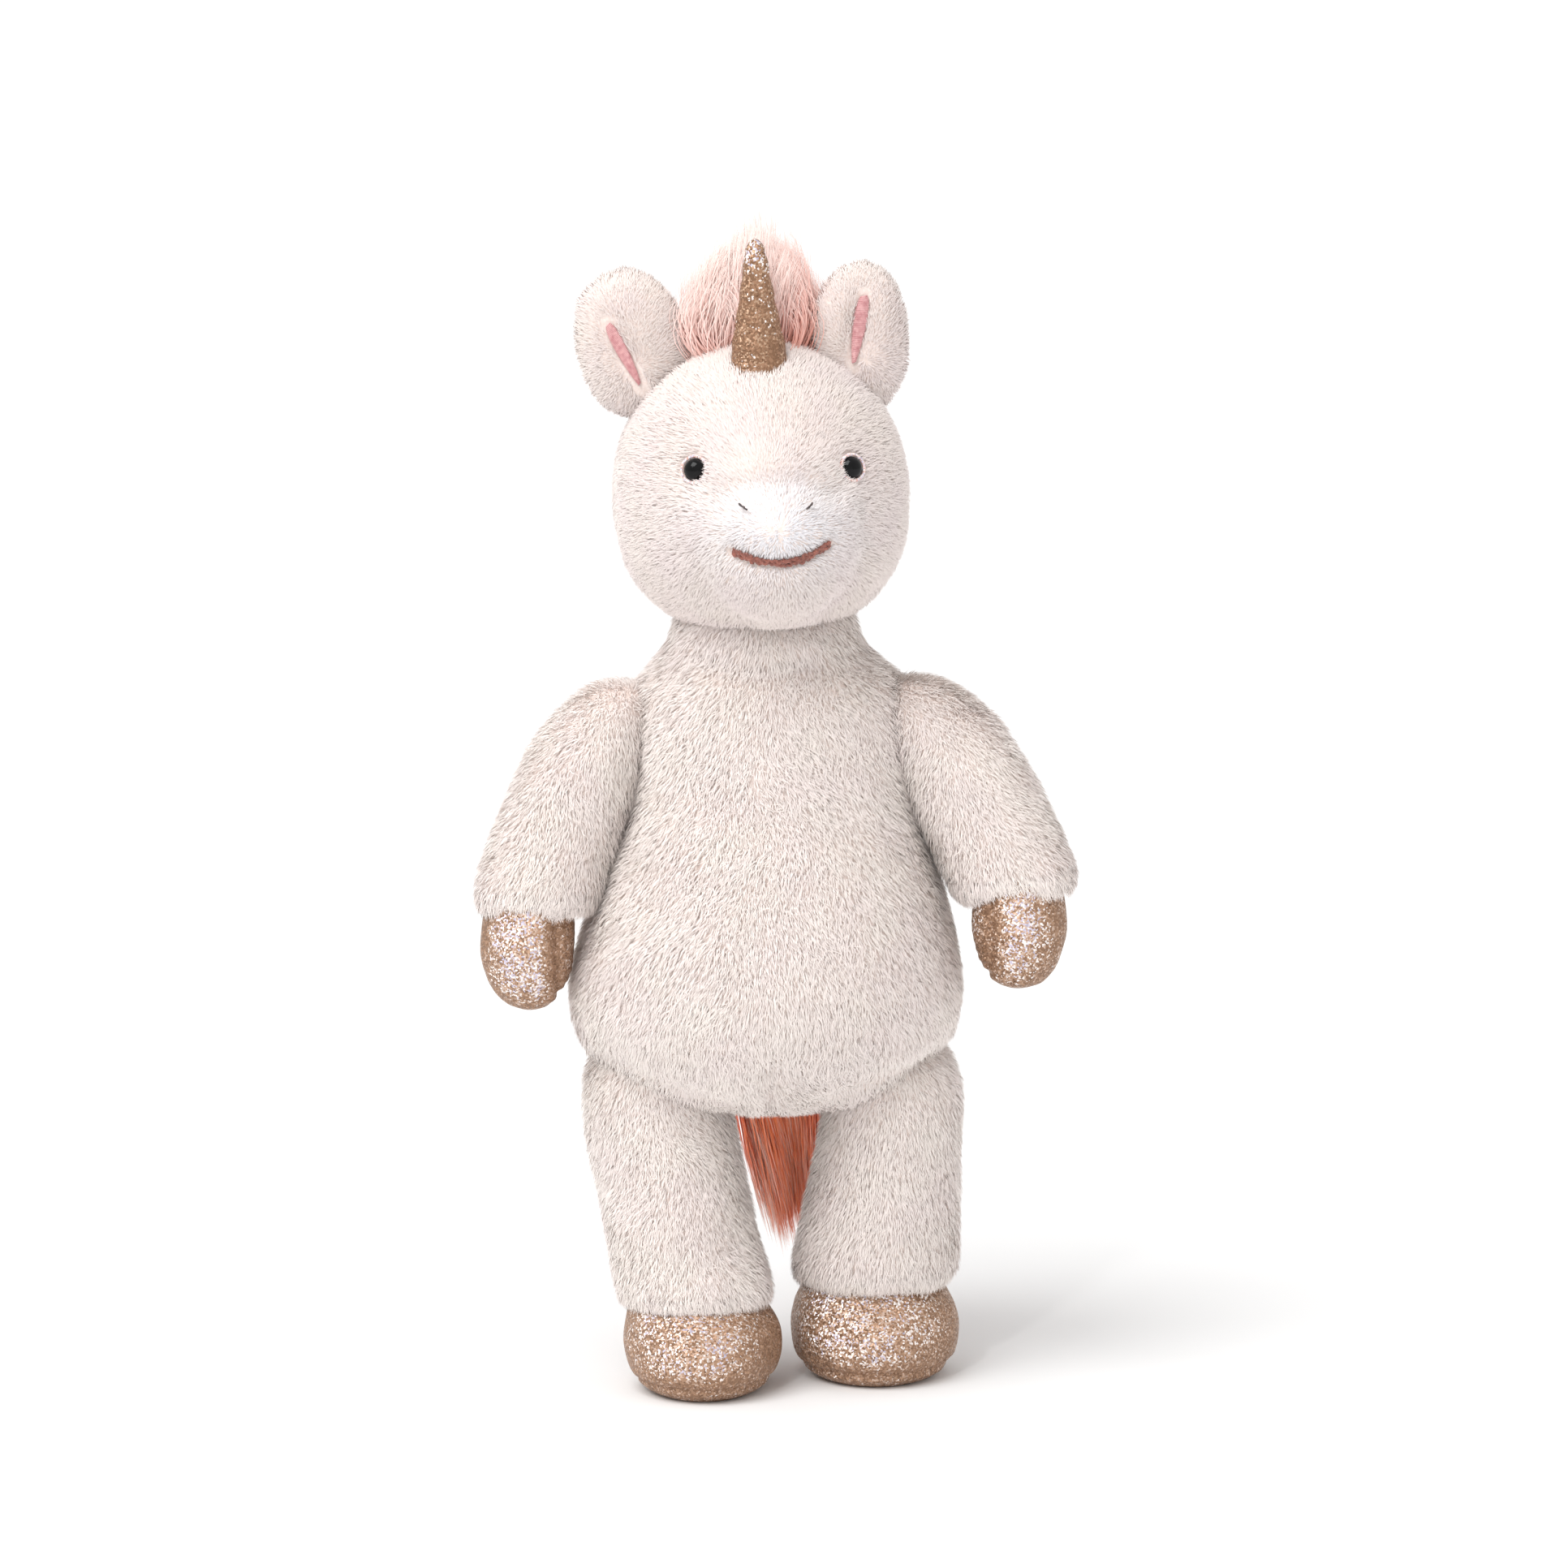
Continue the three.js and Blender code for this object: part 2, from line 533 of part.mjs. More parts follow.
function buildArm(side) {
  const group = groupAt(toy, ...side.shoulder);
  const out = (sections) => sections.map(([x, y, z, w, d]) => [side.sign * x, y, z, w, d]);
  const splay = new THREE.Matrix4().makeTranslation(...side.shoulder)
    .multiply(new THREE.Matrix4().makeRotationY(degrees(-side.sign * side.splay)));
  const place = (geometry) => solid(geometry.applyMatrix4(splay));
  const sleeve = (inset) => place(loft(out(ARM_SLEEVE), { inset, rings: 9, sides: 12 }));
  const [pivotX, pivotY, pivotZ] = ARM_HOOF_PIVOT;
  const lean = (geometry) => place(geometry.translate(-side.sign * pivotX, -pivotY, -pivotZ)
    .rotateY(degrees(side.sign * side.hoofLean)).translate(side.sign * pivotX, pivotY, pivotZ));
  const hoof = (inset) => lean(loft(out(ARM_HOOF), { inset, rings: 7, sides: 10 }));
  const belowLine = (z) => place(new THREE.BoxGeometry(150, 150, 100).translate(0, 0, z - 50));
  const aboveLine = (z) => place(new THREE.BoxGeometry(150, 150, 100).translate(0, 0, z + 50));
  const clear = (body, extra) => body.subtract(shoulderSide(side, SWING_GAP + extra));

  const sleeveBody = clear(sleeve(0), 0).subtract(belowLine(ARM_HEM));
  const sleeveRoom = clear(sleeve(FUR), FUR).subtract(belowLine(ARM_HEM + ARM_HEM_DEPTH));
  const shell = sleeveBody.subtract(sleeveRoom).subtract(hoof(-GAP));
  add(group, `${side.name}_arm_sleeve`, shell, furWhite);

  const hoofShell = hoof(0).subtract(hoof(GLITTER)).subtract(aboveLine(ARM_HOOF_TOP));
  const seamX = side.sign * ARM_HOOF_SEAM;
  const beyond = (x, direction) => lean(new THREE.BoxGeometry(100, 100, 150)
    .translate(x + direction * 50, 0, -60));
  const outer = hoofShell.intersect(beyond(seamX, side.sign));
  const inner = hoofShell.intersect(beyond(seamX - side.sign * GAP, -side.sign));
  add(group, `${side.name}_hand_hoof_outer_panel`, outer, glitterGold);
  add(group, `${side.name}_hand_hoof_inner_panel`, inner, glitterGold);

  const hoofTop = hoof(-GAP).subtract(aboveLine(ARM_HOOF_TOP + GAP));
  const inSleeve = clear(sleeve(FUR + GAP), FUR + GAP)
    .subtract(belowLine(ARM_HEM + ARM_HEM_DEPTH + GAP))
    .subtract(hoofTop);
  const inHoof = hoof(GLITTER + GAP).subtract(aboveLine(ARM_HOOF_TOP + 5));
  add(group, `${side.name}_arm_stuffing`, inSleeve.add(inHoof), stuffingWhite);
}

// ---- legs ---------------------------------------------------------------------------------------

function legSections(side) {
  const [tx, ty] = side.legTop;
  const [hx, hy] = side.hem;
  const [tw, td] = side.legTopHalf;
  const [hw, hd] = side.hemHalf;
  return [
    [hx, hy, HEM_Z - 8, 0, 0], [hx, hy, HEM_Z - 6, hw, hd], [hx, hy, HEM_Z + 4, hw, hd],
    [(tx + 2 * hx) / 3, (ty + 2 * hy) / 3, 44, hw, hd],
    [(2 * tx + hx) / 3, (2 * ty + hy) / 3, 64, (tw + hw) / 2, td],
    [tx, ty, 84, tw, td], [tx, ty, 104, tw, td], [tx, ty, 112, tw - 4, td - 4], [tx, ty, 116, 0, 0],
  ];
}

function footSections(side) {
  const [x, y] = side.footCentre;
  const [w, d] = side.footHalf;
  const [hx, hy] = side.hem;
  return [
    [x, y, 0, 0, 0], [x, y, 0, w - 3, d - 3], [x, y, 3, w, d], [x, y, 10, w, d - 0.5],
    [(x + hx) / 2, (y + hy) / 2, 19, w - 1.8, d - 4], [hx, hy, 27, w - 5, d - 8],
    [hx, hy, 33, w - 6, d - 9], [hx, hy, 36, 0, 0],
  ];
}

function buildLeg(side) {
  const group = groupAt(toy, ...side.hip);
  const leg = (inset) => solid(loft(legSections(side), { inset, rings: 9, sides: 12 }));
  const foot = (inset) => solid(loft(footSections(side), { inset, rings: 8, sides: 14 }));
  const swing = steps(-HIP_BACK, 0, 5);
  const axis = new THREE.Vector3(-1, 0, 0);
  const clear = (body, extra) => relieve(body, torsoForm(-SWING_GAP - extra), side.hip, axis, swing)
    .subtract(slab(side.hip[2] + 0.5 - extra, 200));

  const legBody = clear(leg(0), 0).subtract(slab(-20, HEM_Z));
  const legRoom = clear(leg(FUR), FUR);
  add(group, `${side.name}_leg_sleeve`, legBody.subtract(legRoom).subtract(foot(-GAP)), furWhite);

  const footSkin = foot(0).subtract(foot(GLITTER))
    .subtract(slab(UPPER_TOP, 60))
    .subtract(slab(-5, SOLE_THICKNESS + GAP));
  add(group, `${side.name}_foot_hoof_upper`, footSkin, glitterGold);
  add(group, `${side.name}_foot_sole`, foot(0).intersect(slab(-5, SOLE_THICKNESS)), glitterGold);

  const boardLow = SOLE_THICKNESS + GAP;
  const boardTop = boardLow + BOARD_THICKNESS;
  const footRoom = foot(GLITTER + GAP);
  add(group, `${side.name}_foot_insole_board`, footRoom.intersect(slab(boardLow, boardTop)), boardGrey);
  const pellets = footRoom.intersect(slab(boardTop + GAP, PELLETS_TOP));
  add(group, `${side.name}_foot_pellet_bag`, pellets, pelletBagGrey);

  const inLeg = clear(leg(FUR + GAP), FUR + GAP).subtract(slab(-20, UPPER_TOP + GAP));
  const inFoot = footRoom.intersect(slab(PELLETS_TOP + GAP, UPPER_TOP + 2));
  add(group, `${side.name}_leg_stuffing`, inLeg.add(inFoot), stuffingWhite);
}

function buildTail() {
  const group = groupAt(toy, ...TAIL_ROOT);
  const hair = solid(loft(TAIL, { rings: 8, sides: 10 }));
  const tuft = relieve(hair, torsoRoom, TAIL_ROOT, new THREE.Vector3(1, 0, 0), steps(0, TAIL_LIFT, 12));
  add(group, 'tail_tuft', tuft, tailCoral);
}

buildTorso();
const neck = buildNeck();
const head = buildHead(neck);
for (const side of SIDES) {
  buildEar(head, side);
  buildArm(side);
  buildLeg(side);
}
buildTail();

// The toy stands on its soles with the middle of its outline over the origin.
const outline = new THREE.Box3().setFromObject(toy);
const middle = outline.getCenter(new THREE.Vector3());
toy.position.set(-middle.x, -middle.y, -outline.min.z);

const unicorn = new THREE.Group();
unicorn.add(toy);
export default unicorn;
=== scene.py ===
import json
import math

import bpy
import numpy as np
from mathutils import Matrix, Vector
from mathutils.bvhtree import BVHTree


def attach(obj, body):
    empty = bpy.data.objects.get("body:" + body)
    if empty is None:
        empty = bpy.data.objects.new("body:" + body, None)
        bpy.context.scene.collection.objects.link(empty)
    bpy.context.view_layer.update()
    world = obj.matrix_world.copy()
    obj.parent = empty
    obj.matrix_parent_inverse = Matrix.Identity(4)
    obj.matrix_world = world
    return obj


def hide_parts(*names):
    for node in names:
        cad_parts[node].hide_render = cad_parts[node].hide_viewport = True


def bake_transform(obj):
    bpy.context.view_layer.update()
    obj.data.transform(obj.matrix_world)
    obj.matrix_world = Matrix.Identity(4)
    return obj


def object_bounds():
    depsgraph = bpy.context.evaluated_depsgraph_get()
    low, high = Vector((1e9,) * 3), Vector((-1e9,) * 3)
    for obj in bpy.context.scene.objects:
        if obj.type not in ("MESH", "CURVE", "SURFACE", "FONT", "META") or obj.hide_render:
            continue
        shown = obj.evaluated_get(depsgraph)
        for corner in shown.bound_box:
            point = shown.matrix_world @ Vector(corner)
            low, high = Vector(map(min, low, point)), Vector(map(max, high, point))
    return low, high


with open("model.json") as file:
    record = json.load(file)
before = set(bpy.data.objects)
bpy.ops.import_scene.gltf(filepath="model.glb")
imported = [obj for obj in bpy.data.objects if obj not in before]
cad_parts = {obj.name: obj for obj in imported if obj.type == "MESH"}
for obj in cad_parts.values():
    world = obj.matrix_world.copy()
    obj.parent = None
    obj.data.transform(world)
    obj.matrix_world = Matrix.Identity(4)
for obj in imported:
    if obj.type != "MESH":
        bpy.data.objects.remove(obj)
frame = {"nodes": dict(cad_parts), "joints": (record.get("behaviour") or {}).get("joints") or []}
cad_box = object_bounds()

# Looks of the plush unicorn. Forms are made in the toy's own frame, in millimetres: it faces -Y,
# +Z is up, and its left is +X. row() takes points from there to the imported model's frame, in metres.

MM = 0.001
NECK_AXIS = np.array([0.0, 1.0, 224.0])   # the point that the head turns about, in the toy's frame
TURN = next(j for j in frame["joints"] if j["name"] == "head_turn")
TOY_ORIGIN = np.array(TURN["pos_m"]) - NECK_AXIS * MM

FUR = 3.0                     # backing and leaning pile, so a skin lies this far inside the CAD form
SIM_UNIT = 0.01               # metres to a millimetre while a skin is simulated
SIM_FRAMES = 20
SIM_PRESSURE = 60
RINGS = 48                    # rings and sides of a loft before it is made even
LOFT_SIDES = 48

# ---- forms: [x, y, z, half width, half depth] from the lowest section to the highest ----

TORSO = [
    [1, -2, 80.5, 0, 0], [1, -2, 84, 33, 25], [0.2, -3, 97, 55, 41.5], [0, -4, 118, 59.4, 47],
    [1.8, -3, 147, 52.6, 42], [2, -1, 174, 44, 34.5], [2, 0, 190, 44.5, 32], [2, 0, 200, 45.5, 30],
    [1.5, 0.5, 206, 41.5, 28], [0.5, 1, 210.5, 35.5, 27.8], [0, 1, 215, 31.5, 27.5],
    [0, 1, 221, 29.5, 27], [0, 1, 228, 28.6, 26.5], [0, 1, 236, 0, 0],
]
ARM_SLEEVE = [
    [20, -12, -55, 0, 0], [20, -12, -54, 18.5, 15.5], [19.9, -11.2, -49.5, 21.2, 17.6],
    [18, -9, -42, 21.8, 18.4], [11.8, -5, -24, 22, 19], [4.6, -2, -5, 20.4, 18.8],
    [-1.2, -0.5, 6, 16.5, 16], [-4, 0, 11.5, 10.5, 11.5], [-5.5, 0, 15, 0, 0],
]
ARM_HOOF = [
    [23.6, -16, -80.8, 0, 0], [23.8, -16, -78.5, 6.5, 5.5], [24, -15.5, -71.5, 11.4, 10],
    [23.8, -15, -62, 13.2, 12], [23.2, -13.5, -53, 12.8, 12], [22, -12, -44, 12, 11.5],
    [21.5, -11.5, -40, 0, 0],
]
HOOF_SEAM_X = 15
HOOF_PIVOT = np.array([21.5, -12, -46])
SOLE_TOP = 4.2
HEAD_CENTRE = np.array([-1.3, 0, 262.5])
HEAD_RADII = np.array([42.3, 41, 42])
JOWL_FULLNESS = 0.8
HEAD_YAW = 6
MUZZLE_REACH = 16
MUZZLE_SPREAD = 0.55
MUZZLE_DIRECTION = np.array([0, -1, -0.34]) / math.hypot(1, 0.34)
EYE_X = 22.5
EYE_Z = 8.5
EYE_RADIUS = 3.3
EYE_DEPTH = 1.2
SHANK_RADIUS = 1.2
SHANK_LENGTH = 8
ON_AXIS = 0.001               # the radius of a turned profile's ends
HORN_BASE = np.array([-1.5, -15, 295.7])
HORN_LENGTH = 39
HORN_RADIUS = [8.9, 2.7]      # at the base and near the tip
HEAD_INSET = 2.0
HORN_BACK = 4
HORN_SIDE = -2
HAND_HEM = -50.5              # height of the sleeve's hem on the arm

SIDES = [
    {
        "name": "left", "sign": 1, "shoulder": [46, -2, 194], "splay": 7,
        "hoof_lean": 9, "hoof_shift": [-1.2, 0, 2],
        "foot": [32.1, 4, 25.4, 27.5], "leg_top": [36, -1, 21.6, 25], "hem": [31.4, 5, 25.2, 24.5],
        "ear": [27.5, 1, 304.5], "ear_half": [14.2, 22.2], "ear_lean": -2, "ear_yaw": 12,
        "lining_lean": 11, "lining_place": [-1.6, 2.5], "hem_z": 24,
    },
    {
        "name": "right", "sign": -1, "shoulder": [-45, -2, 192], "splay": 0,
        "hoof_lean": 2, "hoof_shift": [0, 0, 0.5],
        "foot": [-17.9, -15, 23.6, 27.5], "leg_top": [-30.5, -2, 23.2, 25], "hem": [-20.5, -11, 23.8, 24.5],
        "ear": [-38, 1, 302.5], "ear_half": [16.2, 22.2], "ear_lean": -14, "ear_yaw": -4,
        "lining_lean": -14, "lining_place": [-2.4, -2.2], "hem_z": 20.8,
    },
]

# ---- small mathematics ----


def row(points):
    """Points of the toy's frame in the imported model's frame."""
    return np.asarray(points, float) * MM + TOY_ORIGIN


def toy(points):
    """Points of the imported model's frame in the toy's frame."""
    return (np.asarray(points, float) - TOY_ORIGIN) / MM


def turned(points, axis, degrees):
    """Points turned about an axis through the origin, "X", "Y" or "Z"."""
    matrix = np.array(Matrix.Rotation(math.radians(degrees), 3, axis))
    return np.asarray(points, float) @ matrix.T


def unit(vectors):
    return vectors / np.maximum(np.linalg.norm(vectors, axis=-1, keepdims=True), 1e-9)


def across(vectors, normals):
    """The part of each vector that lies along the surface, at length 1."""
    return unit(vectors - normals * (vectors * normals).sum(-1, keepdims=True))


def noise(points, size, seed):
    """Smooth noise from -1 to 1 in space, with lumps of about that size in millimetres."""
    place = np.asarray(points, float) / size + 31.7 * seed
    cell = np.floor(place).astype(np.int64)
    part = place - cell
    part = part * part * (3 - 2 * part)
    total = np.zeros(len(place))
    for corner in np.ndindex(2, 2, 2):
        x, y, z = (cell + corner).T
        mixed = (x * 73856093) ^ (y * 19349663) ^ (z * 83492791)
        mixed = (mixed ^ (mixed >> 13)) * 1274126177
        value = ((mixed >> 9) & 0xFFFF) / 32767.5 - 1
        weight = np.prod(np.where(np.array(corner) == 1, part, 1 - part), axis=1)
        total += value * weight
    return total


def noise_vectors(points, size, seed):
    return np.stack([noise(points, size, seed + k) for k in (0.1, 1.3, 2.7)], axis=1)


def curve_through(points, along):
    """The centripetal Catmull-Rom curve through the points, read at places from 0 to 1."""
    points = np.asarray(points, float)
    longer = np.vstack([2 * points[0] - points[1], points, 2 * points[-1] - points[-2]])
    place = np.clip(np.asarray(along, float), 0, 1 - 1e-9) * (len(points) - 1)
    k = place.astype(int)
    t = (place - k)[:, None]
    before, start, end, after = longer[k], longer[k + 1], longer[k + 2], longer[k + 3]

    def step(a, b):
        return np.sqrt(np.maximum(np.linalg.norm(b - a, axis=1), 1e-4))[:, None]

    d0, d1, d2 = step(before, start), step(start, end), step(end, after)
    leave = d1 * ((start - before) / d0 - (end - before) / (d0 + d1) + (end - start) / d1)
    arrive = d1 * ((end - start) / d1 - (after - start) / (d1 + d2) + (after - end) / d2)
    bend = -3 * start + 3 * end - 2 * leave - arrive
    twist = 2 * start - 2 * end + leave + arrive
    return start + leave * t + bend * t**2 + twist * t**3


def far_from(points, line):
    """The distance from each point to the nearest place on an open line."""
    points = np.asarray(points, float)
    line = np.asarray(line, float)
    nearest = np.full(len(points), np.inf)
    for a, b in zip(line[:-1], line[1:]):
        share = np.clip(((points - a) @ (b - a)) / max((b - a) @ (b - a), 1e-9), 0, 1)
        nearest = np.minimum(nearest, np.linalg.norm(points - a - share[:, None] * (b - a), axis=1))
    return nearest


def bump(distance, width):
    return np.exp(-((distance / width) ** 2))


def normals_of(points, faces):
    """Outward vertex normals of a mesh of four-sided faces."""
    corners = points[faces]
    face = np.cross(corners[:, 2] - corners[:, 0], corners[:, 3] - corners[:, 1])
    summed = np.zeros_like(points)
    for k in range(4):
        np.add.at(summed, faces[:, k], face)
    return unit(summed)


# ---- closed forms ----


def loft(sections, inset):
    """A closed form with elliptic sections, smooth between the listed ones, all of it "inset" inside."""
    sections = np.asarray(sections, float)
    along = np.linspace(0, 1, RINGS + 1)
    centre = curve_through(sections[:, :3], along)
    half = curve_through(np.c_[sections[:, 3:5], 0 * sections[:, 0]], along)
    half = np.maximum(half - inset, 0.5)
    half[[0, -1]] = 0.01
    centre[:, 2] = np.clip(centre[:, 2], sections[0, 2] + inset, sections[-1, 2] - inset)
    angle = np.linspace(0, 2 * math.pi, LOFT_SIDES, endpoint=False)
    points = np.zeros((RINGS + 1, LOFT_SIDES, 3))
    points[:, :, 0] = centre[:, None, 0] + half[:, None, 0] * np.cos(angle)
    points[:, :, 1] = centre[:, None, 1] + half[:, None, 1] * np.sin(angle)
    points[:, :, 2] = centre[:, None, 2]
    return points.reshape(-1, 3), grid_faces(RINGS, LOFT_SIDES)


def grid_faces(rings, sides):
    """Four-sided faces of rings + 1 closed rings of points, the first and last ring drawn together."""
    ring, side = np.mgrid[0:rings, 0:sides]
    after = (side + 1) % sides
    faces = np.stack([ring * sides + side, ring * sides + after,
                      (ring + 1) * sides + after, (ring + 1) * sides + side], axis=-1)
    return faces.reshape(-1, 4)


def head_surface(directions, inset):
    """Points of the head's form, about its centre before it is turned, in the given directions."""
    directions = unit(np.asarray(directions, float))
    x, y, z = (directions / HEAD_RADII).T
    sideways = directions[:, 0] ** 2 / np.maximum((directions[:, :2] ** 2).sum(1), 1e-9)
    sideways = np.where(directions[:, 1] > 0, sideways**3, sideways)
    power = np.where(directions[:, 2] < 0, 2 + JOWL_FULLNESS * sideways, 2)
    round_part = (np.hypot(x, y) ** power + np.abs(z) ** power) ** (-1 / power)
    angle = np.arccos(np.clip(directions @ MUZZLE_DIRECTION, -1, 1))
    reach = round_part + MUZZLE_REACH * bump(angle, MUZZLE_SPREAD) - inset
    return directions * reach[:, None]


def sphere_directions(rings=48, sides=64):
    tilt = np.linspace(-math.pi / 2, math.pi / 2, rings + 1)[:, None]
    turn = np.linspace(0, 2 * math.pi, sides, endpoint=False)[None, :]
    points = np.stack([np.cos(tilt) * np.cos(turn), np.cos(tilt) * np.sin(turn),
                       np.sin(tilt) + 0 * turn], axis=-1)
    return points.reshape(-1, 3), grid_faces(rings, sides)


def head_to_toy(points):
    return turned(points, "Z", HEAD_YAW) + HEAD_CENTRE


def toy_to_head(points):
    return turned(np.asarray(points, float) - HEAD_CENTRE, "Z", -HEAD_YAW)


def arm_to_toy(points, side):
    outward = np.asarray(points, float) * [side["sign"], 1, 1]
    return turned(outward, "Y", -side["sign"] * side["splay"]) + side["shoulder"]


def toy_to_arm(points, side):
    back = turned(np.asarray(points, float) - side["shoulder"], "Y", side["sign"] * side["splay"])
    return back * [side["sign"], 1, 1]


def hoof_to_arm(points, side):
    return turned(points - HOOF_PIVOT, "Y", side["hoof_lean"]) + HOOF_PIVOT + side["hoof_shift"]


def arm_to_hoof(points, side):
    return turned(points - HOOF_PIVOT - side["hoof_shift"], "Y", -side["hoof_lean"]) + HOOF_PIVOT


def ear_to_toy(points, side):
    leaned = turned(points, "Y", side["ear_lean"])
    return turned(leaned, "Z", side["ear_yaw"]) + side["ear"]


def toy_to_ear(points, side):
    back = turned(np.asarray(points, float) - side["ear"], "Z", -side["ear_yaw"])
    return turned(back, "Y", -side["ear_lean"])


def leg_sections(side):
    tx, ty, tw, td = side["leg_top"]
    tx, tw = tx + 1.2 * side["sign"], tw - 0.4
    hx, hy, hw, hd = side["hem"]
    low = side["hem_z"]
    return [
        [hx, hy, low, 0, 0], [hx, hy, low + 1, hw - 1.5, hd - 1.5], [hx, hy, low + 6, hw + 1.2, hd + 1],
        [(tx + 2 * hx) / 3, (ty + 2 * hy) / 3, 44, hw, hd],
        [(2 * tx + hx) / 3, (2 * ty + hy) / 3, 64, (tw + hw) / 2, td],
        [tx, ty, 84, tw, td], [tx, ty, 94, tw - 1.5, td - 1.5], [tx, ty, 101, tw - 7, td - 7],
        [tx, ty, 105, 0, 0],
    ]


def foot_sections(side):
    x, y, w, d = side["foot"]
    hx, hy = side["hem"][:2]
    return [
        [x, y, 0, 0, 0], [x, y, 0.1, w - 8, d - 7], [x, y, 2, w - 4.5, d - 3.5],
        [x, y, 5, w - 2.4, d - 1.5], [x, y, 10, w - 0.6, d - 0.3], [x, y, 15, w, d - 1],
        [(x + hx) / 2, (y + hy) / 2, 22, w - 1.5, d - 4.5],
        [hx, hy, 27, w - 5, d - 8], [hx, hy, 33, w - 6, d - 9], [hx, hy, 36, 0, 0],
    ]


# ---- meshes and simulation ----


def mesh_arrays(mesh, scale):
    points = np.zeros(len(mesh.vertices) * 3)
    mesh.vertices.foreach_get("co", points)
    corners = np.zeros(len(mesh.loops), int)
    mesh.loops.foreach_get("vertex_index", corners)
    return points.reshape(-1, 3) / scale, corners.reshape(-1, 4)


def linked(name, data):
    """A new object in the scene."""
    made = bpy.data.objects.new(name, data)
    bpy.context.scene.collection.objects.link(made)
    return made


def evaluated(temp):
    """Applies the modifiers of a working object."""
    graph = bpy.context.evaluated_depsgraph_get()
    graph.update()
    mesh = bpy.data.meshes.new_from_object(temp.evaluated_get(graph))
    temp.modifiers.clear()
    temp.data = mesh


def swell(temp, held, most):
    """Fills a skin: a cloth simulation with air pressure inside. The stitched points are held, and no
    point moves further than "most"."""
    rest, _ = mesh_arrays(temp.data, 1)
    group = temp.vertex_groups.new(name="stitched")
    group.add([int(i) for i in np.flatnonzero(held)], 1, "REPLACE")
    cloth = temp.modifiers.new("filling", "CLOTH")
    settings = cloth.settings
    settings.use_pressure = True
    settings.uniform_pressure_force = SIM_PRESSURE
    settings.effector_weights.gravity = 0
    settings.tension_stiffness = 8
    settings.compression_stiffness = 8
    settings.shear_stiffness = 3
    settings.bending_stiffness = 0.5
    settings.vertex_group_mass = group.name
    cloth.collision_settings.use_collision = False
    cloth.point_cache.frame_start = 1
    cloth.point_cache.frame_end = SIM_FRAMES
    for number in range(1, SIM_FRAMES + 1):
        bpy.context.scene.frame_set(number)
    graph = bpy.context.evaluated_depsgraph_get()
    full, _ = mesh_arrays(temp.evaluated_get(graph).data, 1)
    temp.modifiers.remove(cloth)
    temp.vertex_groups.remove(group)
    bpy.context.scene.frame_set(1)
    move = full - rest
    length = np.linalg.norm(move, axis=1, keepdims=True)
    limit = most * SIM_UNIT
    move *= limit * np.tanh(length / limit) / np.maximum(length, 1e-9)
    temp.data.vertices.foreach_set("co", (rest + move).ravel())


def evened(points, faces, voxel, soften=0):
    """A working object with an even mesh of four-sided faces, from a closed form."""
    mesh = bpy.data.meshes.new("working")
    mesh.from_pydata((points * SIM_UNIT).tolist(), [], faces)
    temp = linked("working", mesh)
    remesh = temp.modifiers.new("even", "REMESH")
    remesh.mode = "VOXEL"
    remesh.voxel_size = voxel * SIM_UNIT
    if soften:
        temp.modifiers.new("soft", "SMOOTH").iterations = soften
    evaluated(temp)
    return temp


def filled_skin(form, voxel, most, seams, soften=3):
    """A stuffed skin from a closed form: an even mesh, swollen between its seams, and subdivided.
    seams(points) gives each point's distance to the nearest seam."""
    points, faces = form
    temp = evened(points, faces.tolist(), voxel, soften)
    at, _ = mesh_arrays(temp.data, SIM_UNIT)
    swell(temp, seams(at) < 0.6 * voxel, most)
    temp.modifiers.new("fine", "SUBSURF").levels = 1
    evaluated(temp)
    result = mesh_arrays(temp.data, SIM_UNIT)
    bpy.data.objects.remove(temp)
    return result


def piece(name, points, faces, material, body=None, slot=None, replaces=(), thickness=0, shine=None):
    """A mesh piece from points in the toy's frame, with a wall inside it if it has a thickness."""
    used, new_faces = np.unique(faces, return_inverse=True)
    mesh = bpy.data.meshes.new(name)
    mesh.from_pydata(row(points[used]).tolist(), [], new_faces.reshape(np.shape(faces)).tolist())
    mesh.materials.append(material)
    if shine is not None:
        add_values(mesh, "shine", np.broadcast_to(shine, len(points))[used])
    made = linked(name, mesh)
    if thickness:
        wall = made.modifiers.new("wall", "SOLIDIFY")
        wall.thickness = thickness * MM
        wall.offset = -1
        evaluated(made)
        made.data.name = name
    return finish_piece(made, body, replaces)


def finish_piece(made, body=None, replaces=()):
    if body:
        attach(made, body)
    if replaces:
        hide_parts(*replaces)
    return made


# ---- strands of fur and hair ----


def scatter(points, faces, per_mm2, rng):
    """Random places on a mesh of four-sided faces, with the surface's smooth normal at each."""
    normals = normals_of(points, faces)
    triangles = np.vstack([faces[:, [0, 1, 2]], faces[:, [0, 2, 3]]])
    a, b, c = (points[triangles[:, k]] for k in range(3))
    area = np.linalg.norm(np.cross(b - a, c - a), axis=1) / 2
    count = int(area.sum() * per_mm2)
    chosen = rng.choice(len(area), count, p=area / area.sum())
    u, v = rng.random((2, count))
    over = u + v > 1
    u[over], v[over] = 1 - u[over], 1 - v[over]
    w = 1 - u - v
    weights = np.stack([w, u, v], axis=1)[:, :, None]
    corners = triangles[chosen]
    return (points[corners] * weights).sum(1), unit((normals[corners] * weights).sum(1))


